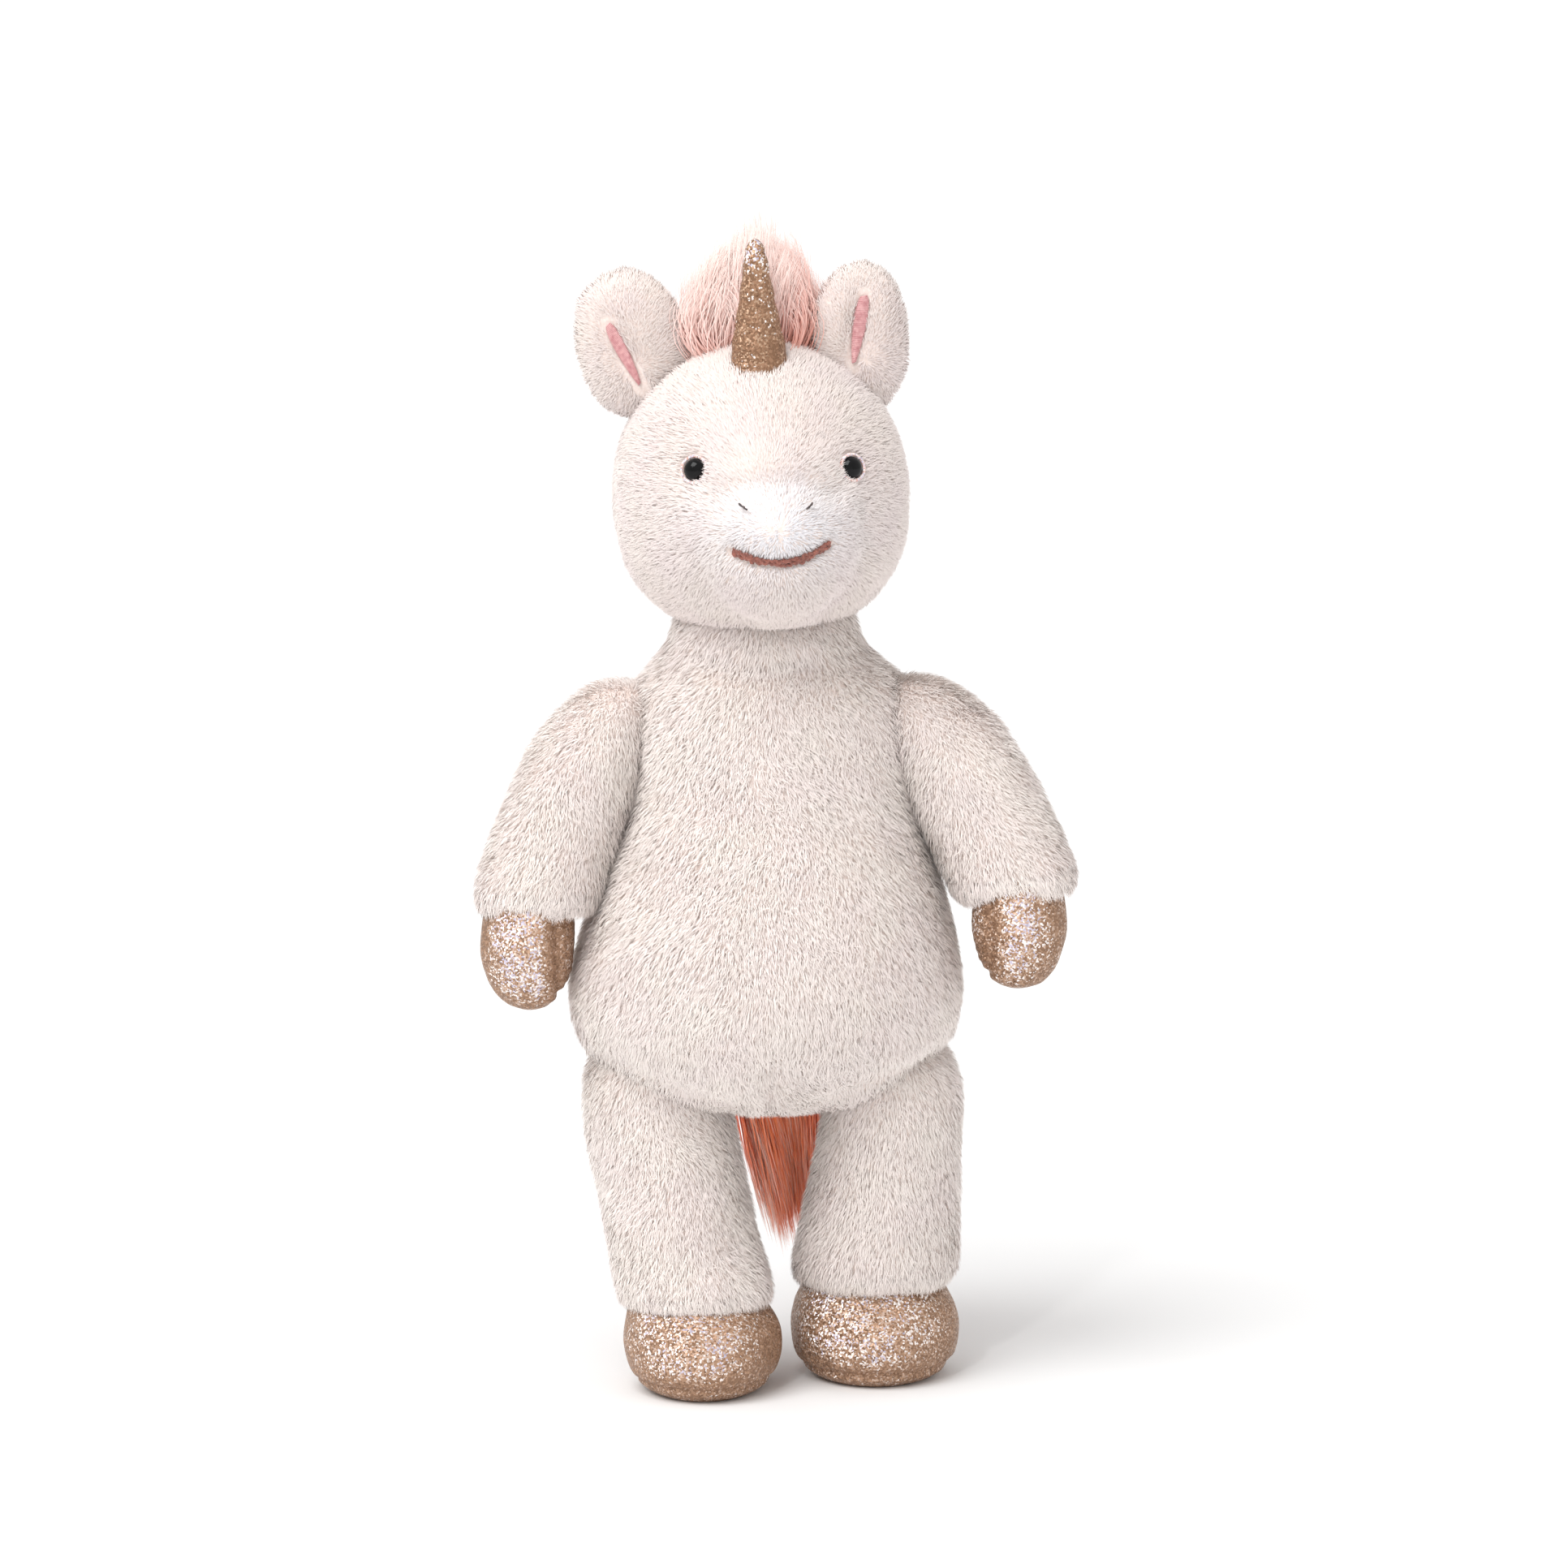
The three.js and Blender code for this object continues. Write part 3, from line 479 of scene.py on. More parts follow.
def strand_mesh(name, spines, outward, sideways, widths, material, values):
    """One mesh of flat tapering strands. spines is (strand, point, xyz) from root to tip; outward and
    sideways are one vector for each strand; widths gives each spine point's width, with a pointed tip."""
    count, length = spines.shape[:2]
    half = np.asarray(widths)[..., None] / 2
    half = np.broadcast_to(half, (count, length, 1))[:, :-1]
    across_it = sideways[:, None, :] * half
    low = spines[:, :-1] - across_it
    high = spines[:, :-1] + across_it
    per = 2 * (length - 1) + 1
    points = np.zeros((count, per, 3))
    points[:, 0:-1:2] = low
    points[:, 1:-1:2] = high
    points[:, -1] = spines[:, -1]
    quads = [[2 * k, 2 * k + 1, 2 * k + 3, 2 * k + 2] for k in range(length - 2)]
    pattern = np.array([corner for quad in quads for corner in quad] + [per - 3, per - 2, per - 1])
    corners = (np.arange(count)[:, None] * per + pattern).ravel()
    starts = np.array([4 * k for k in range(length - 1)])
    face_starts = (np.arange(count)[:, None] * len(pattern) + starts).ravel()

    mesh = bpy.data.meshes.new(name)
    mesh.vertices.add(count * per)
    mesh.vertices.foreach_set("co", row(points).ravel())
    mesh.loops.add(len(corners))
    mesh.loops.foreach_set("vertex_index", corners.astype(np.int32))
    mesh.polygons.add(len(face_starts))
    mesh.polygons.foreach_set("loop_start", face_starts.astype(np.int32))
    mesh.update(calc_edges=True)

    heights = np.linspace(0, 1, length)
    point_height = np.r_[np.repeat(heights[:-1], 2), 1.0]
    add_values(mesh, "height", np.broadcast_to(point_height, (count, per)))
    for key, value in values.items():
        add_values(mesh, key, np.broadcast_to(np.asarray(value)[:, None], (count, per)))

    columns = math.ceil(math.sqrt(count))
    cell = np.arange(count)
    corner_x = np.r_[np.tile([0.1, 0.9], length - 1), 0.5]
    u = (cell % columns)[:, None] + corner_x
    v = (cell // columns)[:, None] + 0.1 + 0.8 * point_height
    map_layer = mesh.uv_layers.new(name="OFBake")
    places = np.stack([u, v], axis=-1).reshape(-1, 2)[corners] / columns
    map_layer.data.foreach_set("uv", places.ravel())

    along = np.gradient(spines, axis=1)
    blade = unit(np.cross(np.broadcast_to(sideways[:, None, :], along.shape), along))
    wanted = unit(outward[:, None, :] + 0.25 * blade)
    facing = (wanted * blade).sum(-1, keepdims=True)
    wanted = unit(wanted + blade * np.maximum(0.25 - facing, 0))
    per_point = np.concatenate([np.repeat(wanted[:, :-1], 2, axis=1), wanted[:, -1:]], axis=1)
    mesh.normals_split_custom_set_from_vertices(per_point.reshape(-1, 3).tolist())
    mesh.materials.append(material)
    return linked(name, mesh)


def add_values(mesh, name, values):
    layer = mesh.attributes.new(name, "FLOAT", "POINT")
    layer.data.foreach_set("value", np.ascontiguousarray(values, dtype=np.float32).ravel())


def fur(name, skin, material, per_mm2, pile, comb, seed, keep, pale=None, width=0.25, lift=0.0):
    """Pile on a skin. comb(points, normals) gives the way it lies, pile its length, keep where it grows, and
    pale how much whiter it is. It leans in soft drifts, some large and some only a few millimetres across."""
    rng = np.random.default_rng(seed)
    roots, normals = scatter(*skin, per_mm2, rng)
    grows = keep(roots)
    roots, normals = roots[grows], normals[grows]
    count = len(roots)
    length = pile(roots) if callable(pile) else np.full(count, float(pile))
    length = length * rng.uniform(0.75, 1.15, count) * (1 + 0.12 * noise(roots, 9, 5))
    drift = 0.3 * noise_vectors(roots, 16, 3) + 0.26 * noise_vectors(roots, 4.6, 7)
    drift += rng.normal(0, 0.26, (count, 3))
    lying = across(unit(comb(roots, normals)) + drift, normals)
    stand = 0.95 + 0.25 * noise(roots, 6, 13) + lift
    start = unit(normals * (stand + 0.5)[:, None] + lying)
    end = unit(normals * (0.45 * stand)[:, None] + lying)
    base = roots - 0.3 * normals
    middle = base + start * length[:, None] * 0.5
    tip = middle + end * length[:, None] * 0.5
    spines = np.stack([base, middle, tip], axis=1)
    roll = rng.normal(0, 0.45, count)[:, None]
    sideways = unit(np.cross(lying, normals) * np.cos(roll) + normals * np.sin(roll))
    values = {
        "tint": rng.uniform(-1, 1, count) + 0.6 * noise(roots, 5, 11),
        "pale": pale(roots) if pale is not None else np.zeros(count),
    }
    return strand_mesh(name, spines, normals, sideways, [width, width * 0.9, 0], material, values)


# ---- materials ----


def colour(red, green, blue):
    """A colour given as it looks on a screen, from 0 to 255, in linear light."""
    shares = np.array([red, green, blue]) / 255
    linear = np.where(shares <= 0.04045, shares / 12.92, ((shares + 0.055) / 1.055) ** 2.4)
    return (*linear.tolist(), 1.0)


class Shader:
    """A Principled material and short names for its nodes and links."""

    def __init__(self, name, roughness, metallic=0.0, sheen=0.0):
        self.material = bpy.data.materials.new(name)
        self.material.use_nodes = True
        self.tree = self.material.node_tree
        self.main = next(n for n in self.tree.nodes if n.type == "BSDF_PRINCIPLED")
        settings = {"Roughness": roughness, "Metallic": metallic, "Sheen Weight": sheen,
                    "Sheen Roughness": 0.5}
        for key, value in settings.items():
            self.main.inputs[key].default_value = value

    def node(self, kind, links=(), **settings):
        """A node with its inputs linked or set."""
        made = self.tree.nodes.new(kind)
        for key, value in settings.items():
            setattr(made, key, value)
        for key, value in dict(links).items():
            if isinstance(value, bpy.types.NodeSocket):
                self.tree.links.new(value, made.inputs[key])
            else:
                made.inputs[key].default_value = value
        return made

    def value(self, name):
        return self.node("ShaderNodeAttribute", attribute_name=name).outputs["Fac"]

    def place(self):
        return self.node("ShaderNodeTexCoord").outputs["Object"]

    def noise(self, size, detail=2.0, roughness=0.5):
        found = self.node("ShaderNodeTexNoise", {"Vector": self.place(), "Scale": 1 / (size * MM),
                                                 "Detail": detail, "Roughness": roughness})
        return found.outputs["Fac"]

    def ramp(self, value, stops, steps=False):
        made = self.node("ShaderNodeValToRGB", {"Fac": value})
        if steps:
            made.color_ramp.interpolation = "CONSTANT"
        elements = made.color_ramp.elements
        while len(elements) < len(stops):
            elements.new(0.5)
        for element, (place, shade) in zip(elements, stops):
            element.position = place
            element.color = shade
        return made.outputs["Color"]

    def span(self, value, low, high, to_low=0.0, to_high=1.0):
        links = {"Value": value, "From Min": low, "From Max": high, "To Min": to_low, "To Max": to_high}
        return self.node("ShaderNodeMapRange", links).outputs["Result"]

    def mix(self, share, first, second):
        return self.node("ShaderNodeMix", {0: share, 6: first, 7: second}, data_type="RGBA").outputs[2]

    def paint(self, shade):
        self.tree.links.new(shade, self.main.inputs["Base Color"])

    def rough(self, value):
        self.tree.links.new(value, self.main.inputs["Roughness"])

    def raise_by(self, height, distance):
        made = self.node("ShaderNodeBump", {"Height": height, "Distance": distance * MM, "Strength": 0.5})
        self.tree.links.new(made.outputs["Normal"], self.main.inputs["Normal"])


def fur_material(name, warm, cool, white):
    """Soft pile: darker towards the roots, a painted shade deep in the pile; each strand a little different,
    in warm and cool patches.
    """
    shader = Shader(name, roughness=0.85, sheen=0.25)
    patches = shader.span(shader.noise(16, 3), 0.35, 0.65)
    body = shader.mix(patches, warm, cool)
    body = shader.mix(shader.span(shader.value("tint"), -1, 1, 0, 0.06), body, colour(226, 208, 200))
    # Painted shade: the lower part of each strand is mixed towards a darker beige.
    body = shader.mix(shader.span(shader.value("height"), 0.55, 0, 0, 0.1), body, colour(226, 202, 190))
    shader.paint(shader.mix(shader.value("pale"), body, white))
    return shader.material


def backing_material():
    """The knitted backing that the pile grows from."""
    shader = Shader("fur_backing", roughness=0.95)
    knit = shader.node("ShaderNodeTexVoronoi", {"Vector": shader.place(), "Scale": 1 / (0.9 * MM)})
    shades = [(0.1, colour(246, 234, 228)), (0.8, colour(236, 220, 212))]
    shader.paint(shader.ramp(knit.outputs["Distance"], shades))
    shader.raise_by(knit.outputs["Distance"], 0.2)
    return shader.material


def glitter_material(name, dark, middle, light, flake_size):
    """Cloth coated with glitter: small flat flakes that all lie a little differently. Where "shine" is high
    more flakes take the pale colours, and where it is low more of the brown cloth shows; on the hooves
    "shine" carries a painted glint."""
    shader = Shader(name, roughness=0.35, metallic=0.3)
    cells = shader.node("ShaderNodeTexVoronoi", {"Vector": shader.place(), "Scale": 1 / (flake_size * MM)})
    parts = shader.node("ShaderNodeSeparateColor", {"Color": cells.outputs["Color"]})
    patches = shader.span(shader.noise(6, 3), 0.3, 0.7, -0.12, 0.12)
    # Painted glint: "shine" shifts the flakes towards the pale colours of the ramp.
    glint_share = shader.span(shader.value("shine"), 0, 1, -0.3, 0.22)
    shift = shader.node("ShaderNodeMath", {0: patches, 1: glint_share}, operation="ADD").outputs["Value"]
    rank = shader.node("ShaderNodeMath", {0: parts.outputs["Red"], 1: shift}, operation="ADD")
    shader.paint(shader.ramp(rank.outputs["Value"], [
        (0.0, dark), (0.28, middle), (0.6, light),
        (0.76, colour(255, 246, 242)), (0.93, colour(216, 208, 226)),
    ], steps=True))
    centred = {0: cells.outputs["Color"], 1: (-0.5, -0.5, -0.5)}
    tilt = shader.node("ShaderNodeVectorMath", centred, operation="ADD")
    face = shader.node("ShaderNodeNewGeometry").outputs["Normal"]
    lying = shader.node("ShaderNodeVectorMath", {0: face, 1: tilt.outputs["Vector"]}, operation="ADD")
    level = shader.node("ShaderNodeVectorMath", {0: lying.outputs["Vector"]}, operation="NORMALIZE")
    shader.tree.links.new(level.outputs["Vector"], shader.main.inputs["Normal"])
    shader.rough(shader.span(parts.outputs["Green"], 0, 1, 0.2, 0.55))
    return shader.material


def hair_material(name, root, middle, tip, hold=0.45):
    """Long hair, from the colour at its root to the colour at its tips; "pale" moves it to the tip's,
    and the middle colour holds as far as "hold" along it."""
    shader = Shader(name, roughness=0.55, sheen=0.2)
    shifted = {0: shader.value("height"), 1: shader.value("pale")}
    place = shader.node("ShaderNodeMath", shifted, operation="ADD")
    shade = shader.ramp(place.outputs["Value"], [(0.05, root), (hold, middle), (0.96, tip)])
    streaks = shader.span(shader.value("tint"), -1, 1, 0, 0.16)
    shader.paint(shader.mix(streaks, shade, tip))
    return shader.material


def thread_material(name, dark, light, size):
    """Shiny embroidery thread."""
    shader = Shader(name, roughness=0.42, sheen=0.3)
    shader.paint(shader.mix(shader.span(shader.noise(size, 4), 0.3, 0.7), dark, light))
    shader.raise_by(shader.noise(size / 2, 3), 0.05)
    return shader.material


def plain_material(name, first, second, size, roughness, bump_height):
    """Cloth, board or plastic with a fine grain."""
    shader = Shader(name, roughness=roughness)
    shader.paint(shader.mix(shader.span(shader.noise(size, 5, 0.6), 0.35, 0.65), first, second))
    shader.raise_by(shader.noise(size / 3, 4), bump_height)
    return shader.material


def eye_material():
    """Polished black plastic, very slightly cloudy."""
    shader = Shader("eye_gloss", roughness=0.03)
    cloudy = shader.span(shader.noise(1.5, 3), 0.4, 0.7)
    shader.paint(shader.mix(cloudy, colour(2, 2, 3), colour(12, 11, 13)))
    shader.main.inputs["Specular IOR Level"].default_value = 0.25
    return shader.material


FUR_MATERIAL = fur_material("plush_fur", colour(254, 246, 240), colour(253, 243, 239),
                            colour(252, 252, 254))
# The same plush painted darker all over: painted shade, standing in for the shade that the short pile of the
# head and ears casts less of.
FACE_FUR = fur_material("plush_fur_short", colour(245, 235, 229), colour(243, 231, 228),
                        colour(247, 246, 250))
BACKING = backing_material()
GLITTER = glitter_material("hoof_glitter_cloth", colour(142, 108, 84), colour(174, 138, 112),
                           colour(208, 180, 162), 0.5)
HORN_GLITTER = glitter_material("horn_glitter_cloth", colour(134, 98, 72), colour(164, 124, 96),
                                colour(198, 164, 136), 0.5)
MANE_HAIR = hair_material("mane_strands", colour(232, 158, 140), colour(244, 202, 192),
                          colour(250, 230, 223))
TAIL_HAIR = hair_material("tail_strands", colour(255, 116, 54), colour(255, 134, 76),
                          colour(252, 238, 230), hold=0.7)
LINING_THREAD = thread_material("lining_thread", colour(190, 124, 128), colour(222, 172, 172), 1.2)
MOUTH_THREAD = thread_material("lip_thread", colour(98, 48, 38), colour(164, 98, 82), 1.0)
NOSTRIL_THREAD = thread_material("nostril_thread_dark", colour(44, 34, 34), colour(84, 66, 62), 1.0)
STUFFING = plain_material("polyester_fill", colour(250, 250, 247), colour(232, 231, 226), 3, 1.0, 0.6)
BOARD = plain_material("insole_card", colour(190, 176, 152), colour(166, 150, 126), 2, 0.9, 0.1)
PELLET_CLOTH = plain_material("pellet_bag_cloth", colour(220, 215, 206), colour(196, 190, 178), 1, 0.8, 0.2)
WASHER = plain_material("washer_nylon", colour(236, 236, 230), colour(222, 222, 214), 2, 0.45, 0.05)
EYE = eye_material()
EYE_GLITTER = glitter_material("eye_ring_glitter", colour(220, 168, 158), colour(240, 208, 200),
                               colour(252, 236, 230), 0.4)

# ---- torso ----

TORSO_START = tuple(row([0, 1, 209]))    # a point low on the collar, in the model's frame
TORSO_END = tuple(row([0, 1, 227]))      # a point high on the collar, in the model's frame
BELLY_DART = [(1.4, 99), (1.2, 88)]
HIP_CREASES = [[(-45, 99), (-26, 92), (-10, 86)], [(56, 102), (34, 95), (16, 88)]]
NECK_CREASE = [(-17, 214), (-4, 211.5), (12, 214)]


def front_line(points, normals, line, depth, width):
    """How far a crease drawn on the front as (x, z) presses each point in."""
    flat = np.c_[points[:, 0], points[:, 2]]
    facing = np.clip(-normals[:, 1] * 3, 0, 1)
    return depth * facing * bump(far_from(flat, line), width)


def torso_seams(points):
    """The side seams of the front and back panels."""
    return np.abs(points[:, 1])


def make_torso():
    points, faces = filled_skin(loft(TORSO, FUR + 1.2), 4, most=2.4, seams=torso_seams)
    normals = normals_of(points, faces)
    press = front_line(points, normals, BELLY_DART, 2.4, 2.6)
    for line in HIP_CREASES:
        press += front_line(points, normals, line, 1.6, 3.5)
    press += front_line(points, normals, NECK_CREASE, 1.5, 3.0)
    points = points - normals * press[:, None]
    points = points + normals * (0.5 * noise(points, 22, 4))[:, None]
    middle = points[faces].mean(1)
    gusset = (np.abs(middle[:, 0] - 1) < 8.5) & (np.abs(middle[:, 1] + 2) < 22) & (middle[:, 2] < 92)
    front = (middle[:, 1] < 0) & ~gusset
    back = (middle[:, 1] >= 0) & ~gusset
    skins = [("torso_front_skin", front, "torso_front_panel"), ("torso_back_skin", back, "torso_back_panel"),
             ("seat_gusset_skin", gusset, "seat_gusset")]
    for name, chosen, node in skins:
        skin = piece(name, points, faces[chosen], BACKING, slot="fur", replaces=[node], thickness=0.8)
        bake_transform(skin)

    def comb(at, normal):
        return np.array([0, 0, -1.0]) + 0.25 * across(at * [1, 0.6, 0], normal)

    def pile(at):
        short = front_line(at, np.tile([0, -1.0, 0], (len(at), 1)), BELLY_DART, 0.3, 2.5)
        for line in HIP_CREASES:
            short += front_line(at, np.tile([0, -1.0, 0], (len(at), 1)), line, 0.3, 3)
        return 4.4 * (1 - short)

    for name, chosen in (("torso_front_fur", middle[:, 1] < 0), ("torso_back_fur", middle[:, 1] >= 0)):
        coat = fur(name, (points, faces[chosen]), FUR_MATERIAL, 3.9, pile, comb, seed=len(name),
                   keep=lambda at: at[:, 2] < 229)
        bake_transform(coat)


# ---- head ----

SMILE = [(0.6 + 13.2 * part, -15.8 + 4.0 * part**2 + 0.7 * part) for part in np.linspace(-1, 1, 17)]
PLY_PITCH = 1.6               # millimetres for one turn of a thread's plies
NOSE_CREASE = [(-16, 2), (-10, 5), (0, 6.4), (9, 5.6), (17, 2)]
CHEEK_FOLDS = [[(-22, -14), (-19, -24), (-13, -31), (-6, -35)],
               [(25, -2), (27, -14), (23, -25), (15, -32)]]
FACE_SWELLS = [                # (x, z), half size and rise of the upper lip, the chin and one cheek
    ((0, -7), (13, 6.5), 2.4), ((0, -26), (15, 7), 2.0), ((-22, -13), (7, 10), 1.2),
]


def head_seams(points):
    return np.abs(toy_to_head(points)[:, 1])


def press_face(local, normals):
    """The creases and swells of the face, about the head's centre, as a distance pressed in."""
    press = front_line(local, normals, NOSE_CREASE, 2.2, 3.4)
    for line in CHEEK_FOLDS:
        press += front_line(local, normals, line, 1.6, 3.2)
    press += front_line(local, normals, SMILE, 1.8, 1.8)
    forward = np.clip(-normals[:, 1] * 2, 0, 1)
    for place, size, rise in FACE_SWELLS:
        swell_at = np.c_[(local[:, 0] - place[0]) / size[0], (local[:, 2] - place[1]) / size[1]]
        press -= rise * forward * bump(np.linalg.norm(swell_at, axis=1), 1)
    for side in (-1, 1):
        socket = np.c_[local[:, 0] - side * EYE_X, local[:, 2] - EYE_Z]
        press += 1.3 * forward * bump(np.linalg.norm(socket, axis=1), 5.5)
    return press


def muzzle_share(local):
    """How white the fur is: full on the nose and the upper lip, none on the cheeks."""
    spot = np.c_[(local[:, 0] - 1) / 19, (local[:, 2] + 7) / 12]
    return np.where(local[:, 1] < 0, bump(np.linalg.norm(spot, axis=1), 1), 0)


def eye_places():
    """Each eye's name, the middle of its back and the way it looks, about the head's centre."""
    for side, name in ((-1, "right"), (1, "left")):
        away = np.array([[side * EYE_X, -36.0, EYE_Z]])
        middle = head_surface(away, EYE_DEPTH)[0]
        around = head_surface(away + [[1, 0, 0], [0, 0, 1]], EYE_DEPTH)
        outward = unit(unit(np.cross(around[0] - middle, around[1] - middle)) + [0, -0.7, 0])
        yield name, middle, outward


def make_head():
    directions, faces = sphere_directions()
    form = head_to_toy(head_surface(directions, HEAD_INSET)), faces
    points, faces = filled_skin(form, 3.5, most=1.6, seams=head_seams)
    normals = normals_of(points, faces)
    local = toy_to_head(points)
    local_normals = turned(normals, "Z", -HEAD_YAW)
    points = points - normals * press_face(local, local_normals)[:, None]
    middle = toy_to_head(points[faces].mean(1))
    oval = (middle[:, 0] / 22) ** 2 + ((middle[:, 2] + 12) / 17) ** 2
    muzzle = (middle[:, 1] < 0) & (oval < 1)
    face = (middle[:, 1] < 0) & ~muzzle
    back = middle[:, 1] >= 0
    panels = [("face", face, "face_panel", "fur"), ("muzzle", muzzle, "muzzle_panel", "muzzle_fur"),
              ("head_back", back, "head_back_panel", "fur")]
    eyes = [(head_to_toy([spot])[0], turned([way], "Z", HEAD_YAW)[0]) for _, spot, way in eye_places()]
    smile_3d = head_to_toy(head_surface(on_front(SMILE), FUR))
    horn_axis = horn_to_toy(np.array([[0, 0, -8.0], [0, 0, 20.0]]))

    def comb(at, normal):
        from_nose = unit(at - head_to_toy([[0, -58, -8]]))
        behind = np.clip((at[:, 1:2] + 15) / 35, 0, 1)
        return from_nose * (1 - behind) + np.array([0, 0, -1.0]) * (0.25 + behind)

    def pile(at):
        here = toy_to_head(at)
        near_face = bump(np.linalg.norm((here - [0, -50, -4]) / [30, 34, 26], axis=1), 1)
        return 3.8 - 1.5 * near_face

    def keep(at):
        kept = far_from(at, smile_3d) > 1.5
        for spot, way in eyes:
            off = at - spot
            beside = np.linalg.norm(off - np.outer(off @ way, way), axis=1)
            inner = unit(np.array([-np.sign(spot[0] - HEAD_CENTRE[0]), 0, -1.2]))
            room = EYE_RADIUS + 1.5 - 3.0 * np.clip(unit(off) @ inner, 0, 1)
            kept &= (beside > room) | (np.abs(off @ way) > 8)
        return kept & (far_from(at, horn_axis) > 8.0)

    for number, (name, chosen, node, slot) in enumerate(panels):
        skin = piece(name + "_skin", points, faces[chosen], BACKING, "head", slot, [node], thickness=0.8)
        coat = fur(name + "_fur", (points, faces[chosen]), FACE_FUR, 5.0, pile, comb, seed=40 + number,
                   keep=keep, pale=lambda at: muzzle_share(toy_to_head(at)), width=0.26, lift=0.1)
        finish_piece(coat, "head")
    return BVHTree.FromPolygons(points.tolist(), faces.tolist())


def on_front(places):
    """Directions from the head's centre to (x, z) places on the front of the head."""
    places = np.asarray(places, float)
    depth = np.full(len(places), -45.0)
    for _ in range(20):
        surface = head_surface(np.c_[places[:, 0], depth, places[:, 1]], FUR)
        depth += 0.7 * (surface[:, 1] - depth)
        depth = np.minimum(depth, -5)
    return np.c_[places[:, 0], depth, places[:, 1]]


def on_skin(tree, places, raised):
    """Points in the toy's frame over (x, z) places on the front of the finished head skin."""
    found = []
    for x, z in places:
        start = head_to_toy([[x, -90, z]])[0]
        way = turned([[0, 1, 0]], "Z", HEAD_YAW)[0]
        spot, normal, _, _ = tree.ray_cast(Vector(start), Vector(way))
        found.append((np.array(spot) + raised * np.array(normal), np.array(normal)))
    return np.array([f[0] for f in found]), np.array([f[1] for f in found])


def tube(line, normals, radius, sides=10, plies=0):
    """A closed round thread along a line, twisted from plies if there are any."""
    line = np.asarray(line, float)
    along = unit(np.gradient(line, axis=0))
    outward = across(np.asarray(normals, float), along)
    sideways = np.cross(along, outward)
    run = np.r_[0, np.cumsum(np.linalg.norm(np.diff(line, axis=0), axis=1))]
    angle = np.linspace(0, 2 * math.pi, sides, endpoint=False)
    wave = 1 + (0.22 * np.cos(plies * angle - 2 * math.pi * run[:, None] / PLY_PITCH) if plies else 0)
    closing = np.sqrt(np.clip(np.minimum(run, run[-1] - run) / radius, 0.0004, 1))
    spread = (radius * closing)[:, None] * wave * np.ones_like(angle)
    points = (line[:, None] + outward[:, None] * (spread * np.cos(angle))[:, :, None]
              + sideways[:, None] * (spread * np.sin(angle))[:, :, None])
    return points.reshape(-1, 3), grid_faces(len(line) - 1, sides)[:, ::-1]


def joined(meshes):
    """Several meshes of points and faces as one."""
    points, faces, count = [], [], 0
    for some_points, some_faces in meshes:
        points.append(some_points)
        faces.append(some_faces + count)
        count += len(some_points)
    return np.vstack(points), np.vstack(faces)


def make_face(tree):
    smile = curve_through([(x, z, 0) for x, z in SMILE], np.linspace(0, 1, 150))
    rows = []
    for raised_z in (-0.5, 0.5):
        line, normals = on_skin(tree, [(x, z + raised_z) for x, z, _ in smile], 2.1)
        rows.append(tube(line, normals, 0.62, plies=2))
    points, faces = joined(rows)
    piece("mouth_satin_stitch", points, faces, MOUTH_THREAD, "head", "mouth_thread", ["mouth_stitch"])
    for name, side in (("left", 1), ("right", -1)):
        path = curve_through([(-0.8 + side * 9.4, -0.8, 0), (-0.8 + side * 8.3, -1.7, 0),
                              (-0.8 + side * 7.3, -2.2, 0)], np.linspace(0, 1, 30))
        line, normals = on_skin(tree, [(x, z) for x, z, _ in path], 2.6)
        points, faces = tube(line, normals, 0.3, plies=2)
        piece(name + "_nostril_thread", points, faces, NOSTRIL_THREAD, "head", "nostril_thread",
              [name + "_nostril_stitch"])
    for name, middle, outward in eye_places():
        make_eye(name, middle, outward)


def lathe(profile, middle, outward, sides=32):
    """A shape turned about a line on the face. The profile is (radius, height) from the axis to the axis,
    or a closed ring of such points."""
    angle = np.linspace(0, 2 * math.pi, sides, endpoint=False)
    profile = np.asarray(profile, float)
    first = across(np.array([1.0, 0, 0]), outward)
    second = np.cross(outward, first)
    around = first * np.cos(angle)[:, None] + second * np.sin(angle)[:, None]
    points = middle + profile[:, None, :1] * around + profile[:, None, 1:] * outward
    return points.reshape(-1, 3), grid_faces(len(profile) - 1, sides)


def make_eye(name, middle, outward):
    """A safety eye, a glossy dome on a shank, with a ring of glitter round it."""
    bow = np.linspace(0, math.pi / 2, 14)
    dome = [(EYE_RADIUS * math.cos(a), 0.2 + 2.7 * math.sin(a)) for a in bow]
    profile = [(ON_AXIS, -SHANK_LENGTH), (SHANK_RADIUS, -SHANK_LENGTH), (SHANK_RADIUS, -0.2),
               (EYE_RADIUS - 0.3, -0.2), *dome[:-1], (ON_AXIS, dome[-1][1])]
    points, faces = lathe(profile, middle, outward)
    piece(name + "_eye_dome", head_to_toy(points), faces, EYE, "head", "eye", [name + "_eye"])
    round_it = np.linspace(0, 2 * math.pi, 13)
    ring = [(EYE_RADIUS + 0.45 + 0.5 * math.cos(a), 0.9 + 0.55 * math.sin(a)) for a in round_it]
    points, faces = lathe(ring, middle, outward, 48)
    piece(name + "_eye_glitter_ring", head_to_toy(points), faces, EYE_GLITTER, "head", "eye_ring",
          [name + "_eye_ring"], shine=0.9)


def horn_to_toy(points):
    return turned(turned(points, "X", HORN_BACK), "Y", HORN_SIDE) + HORN_BASE


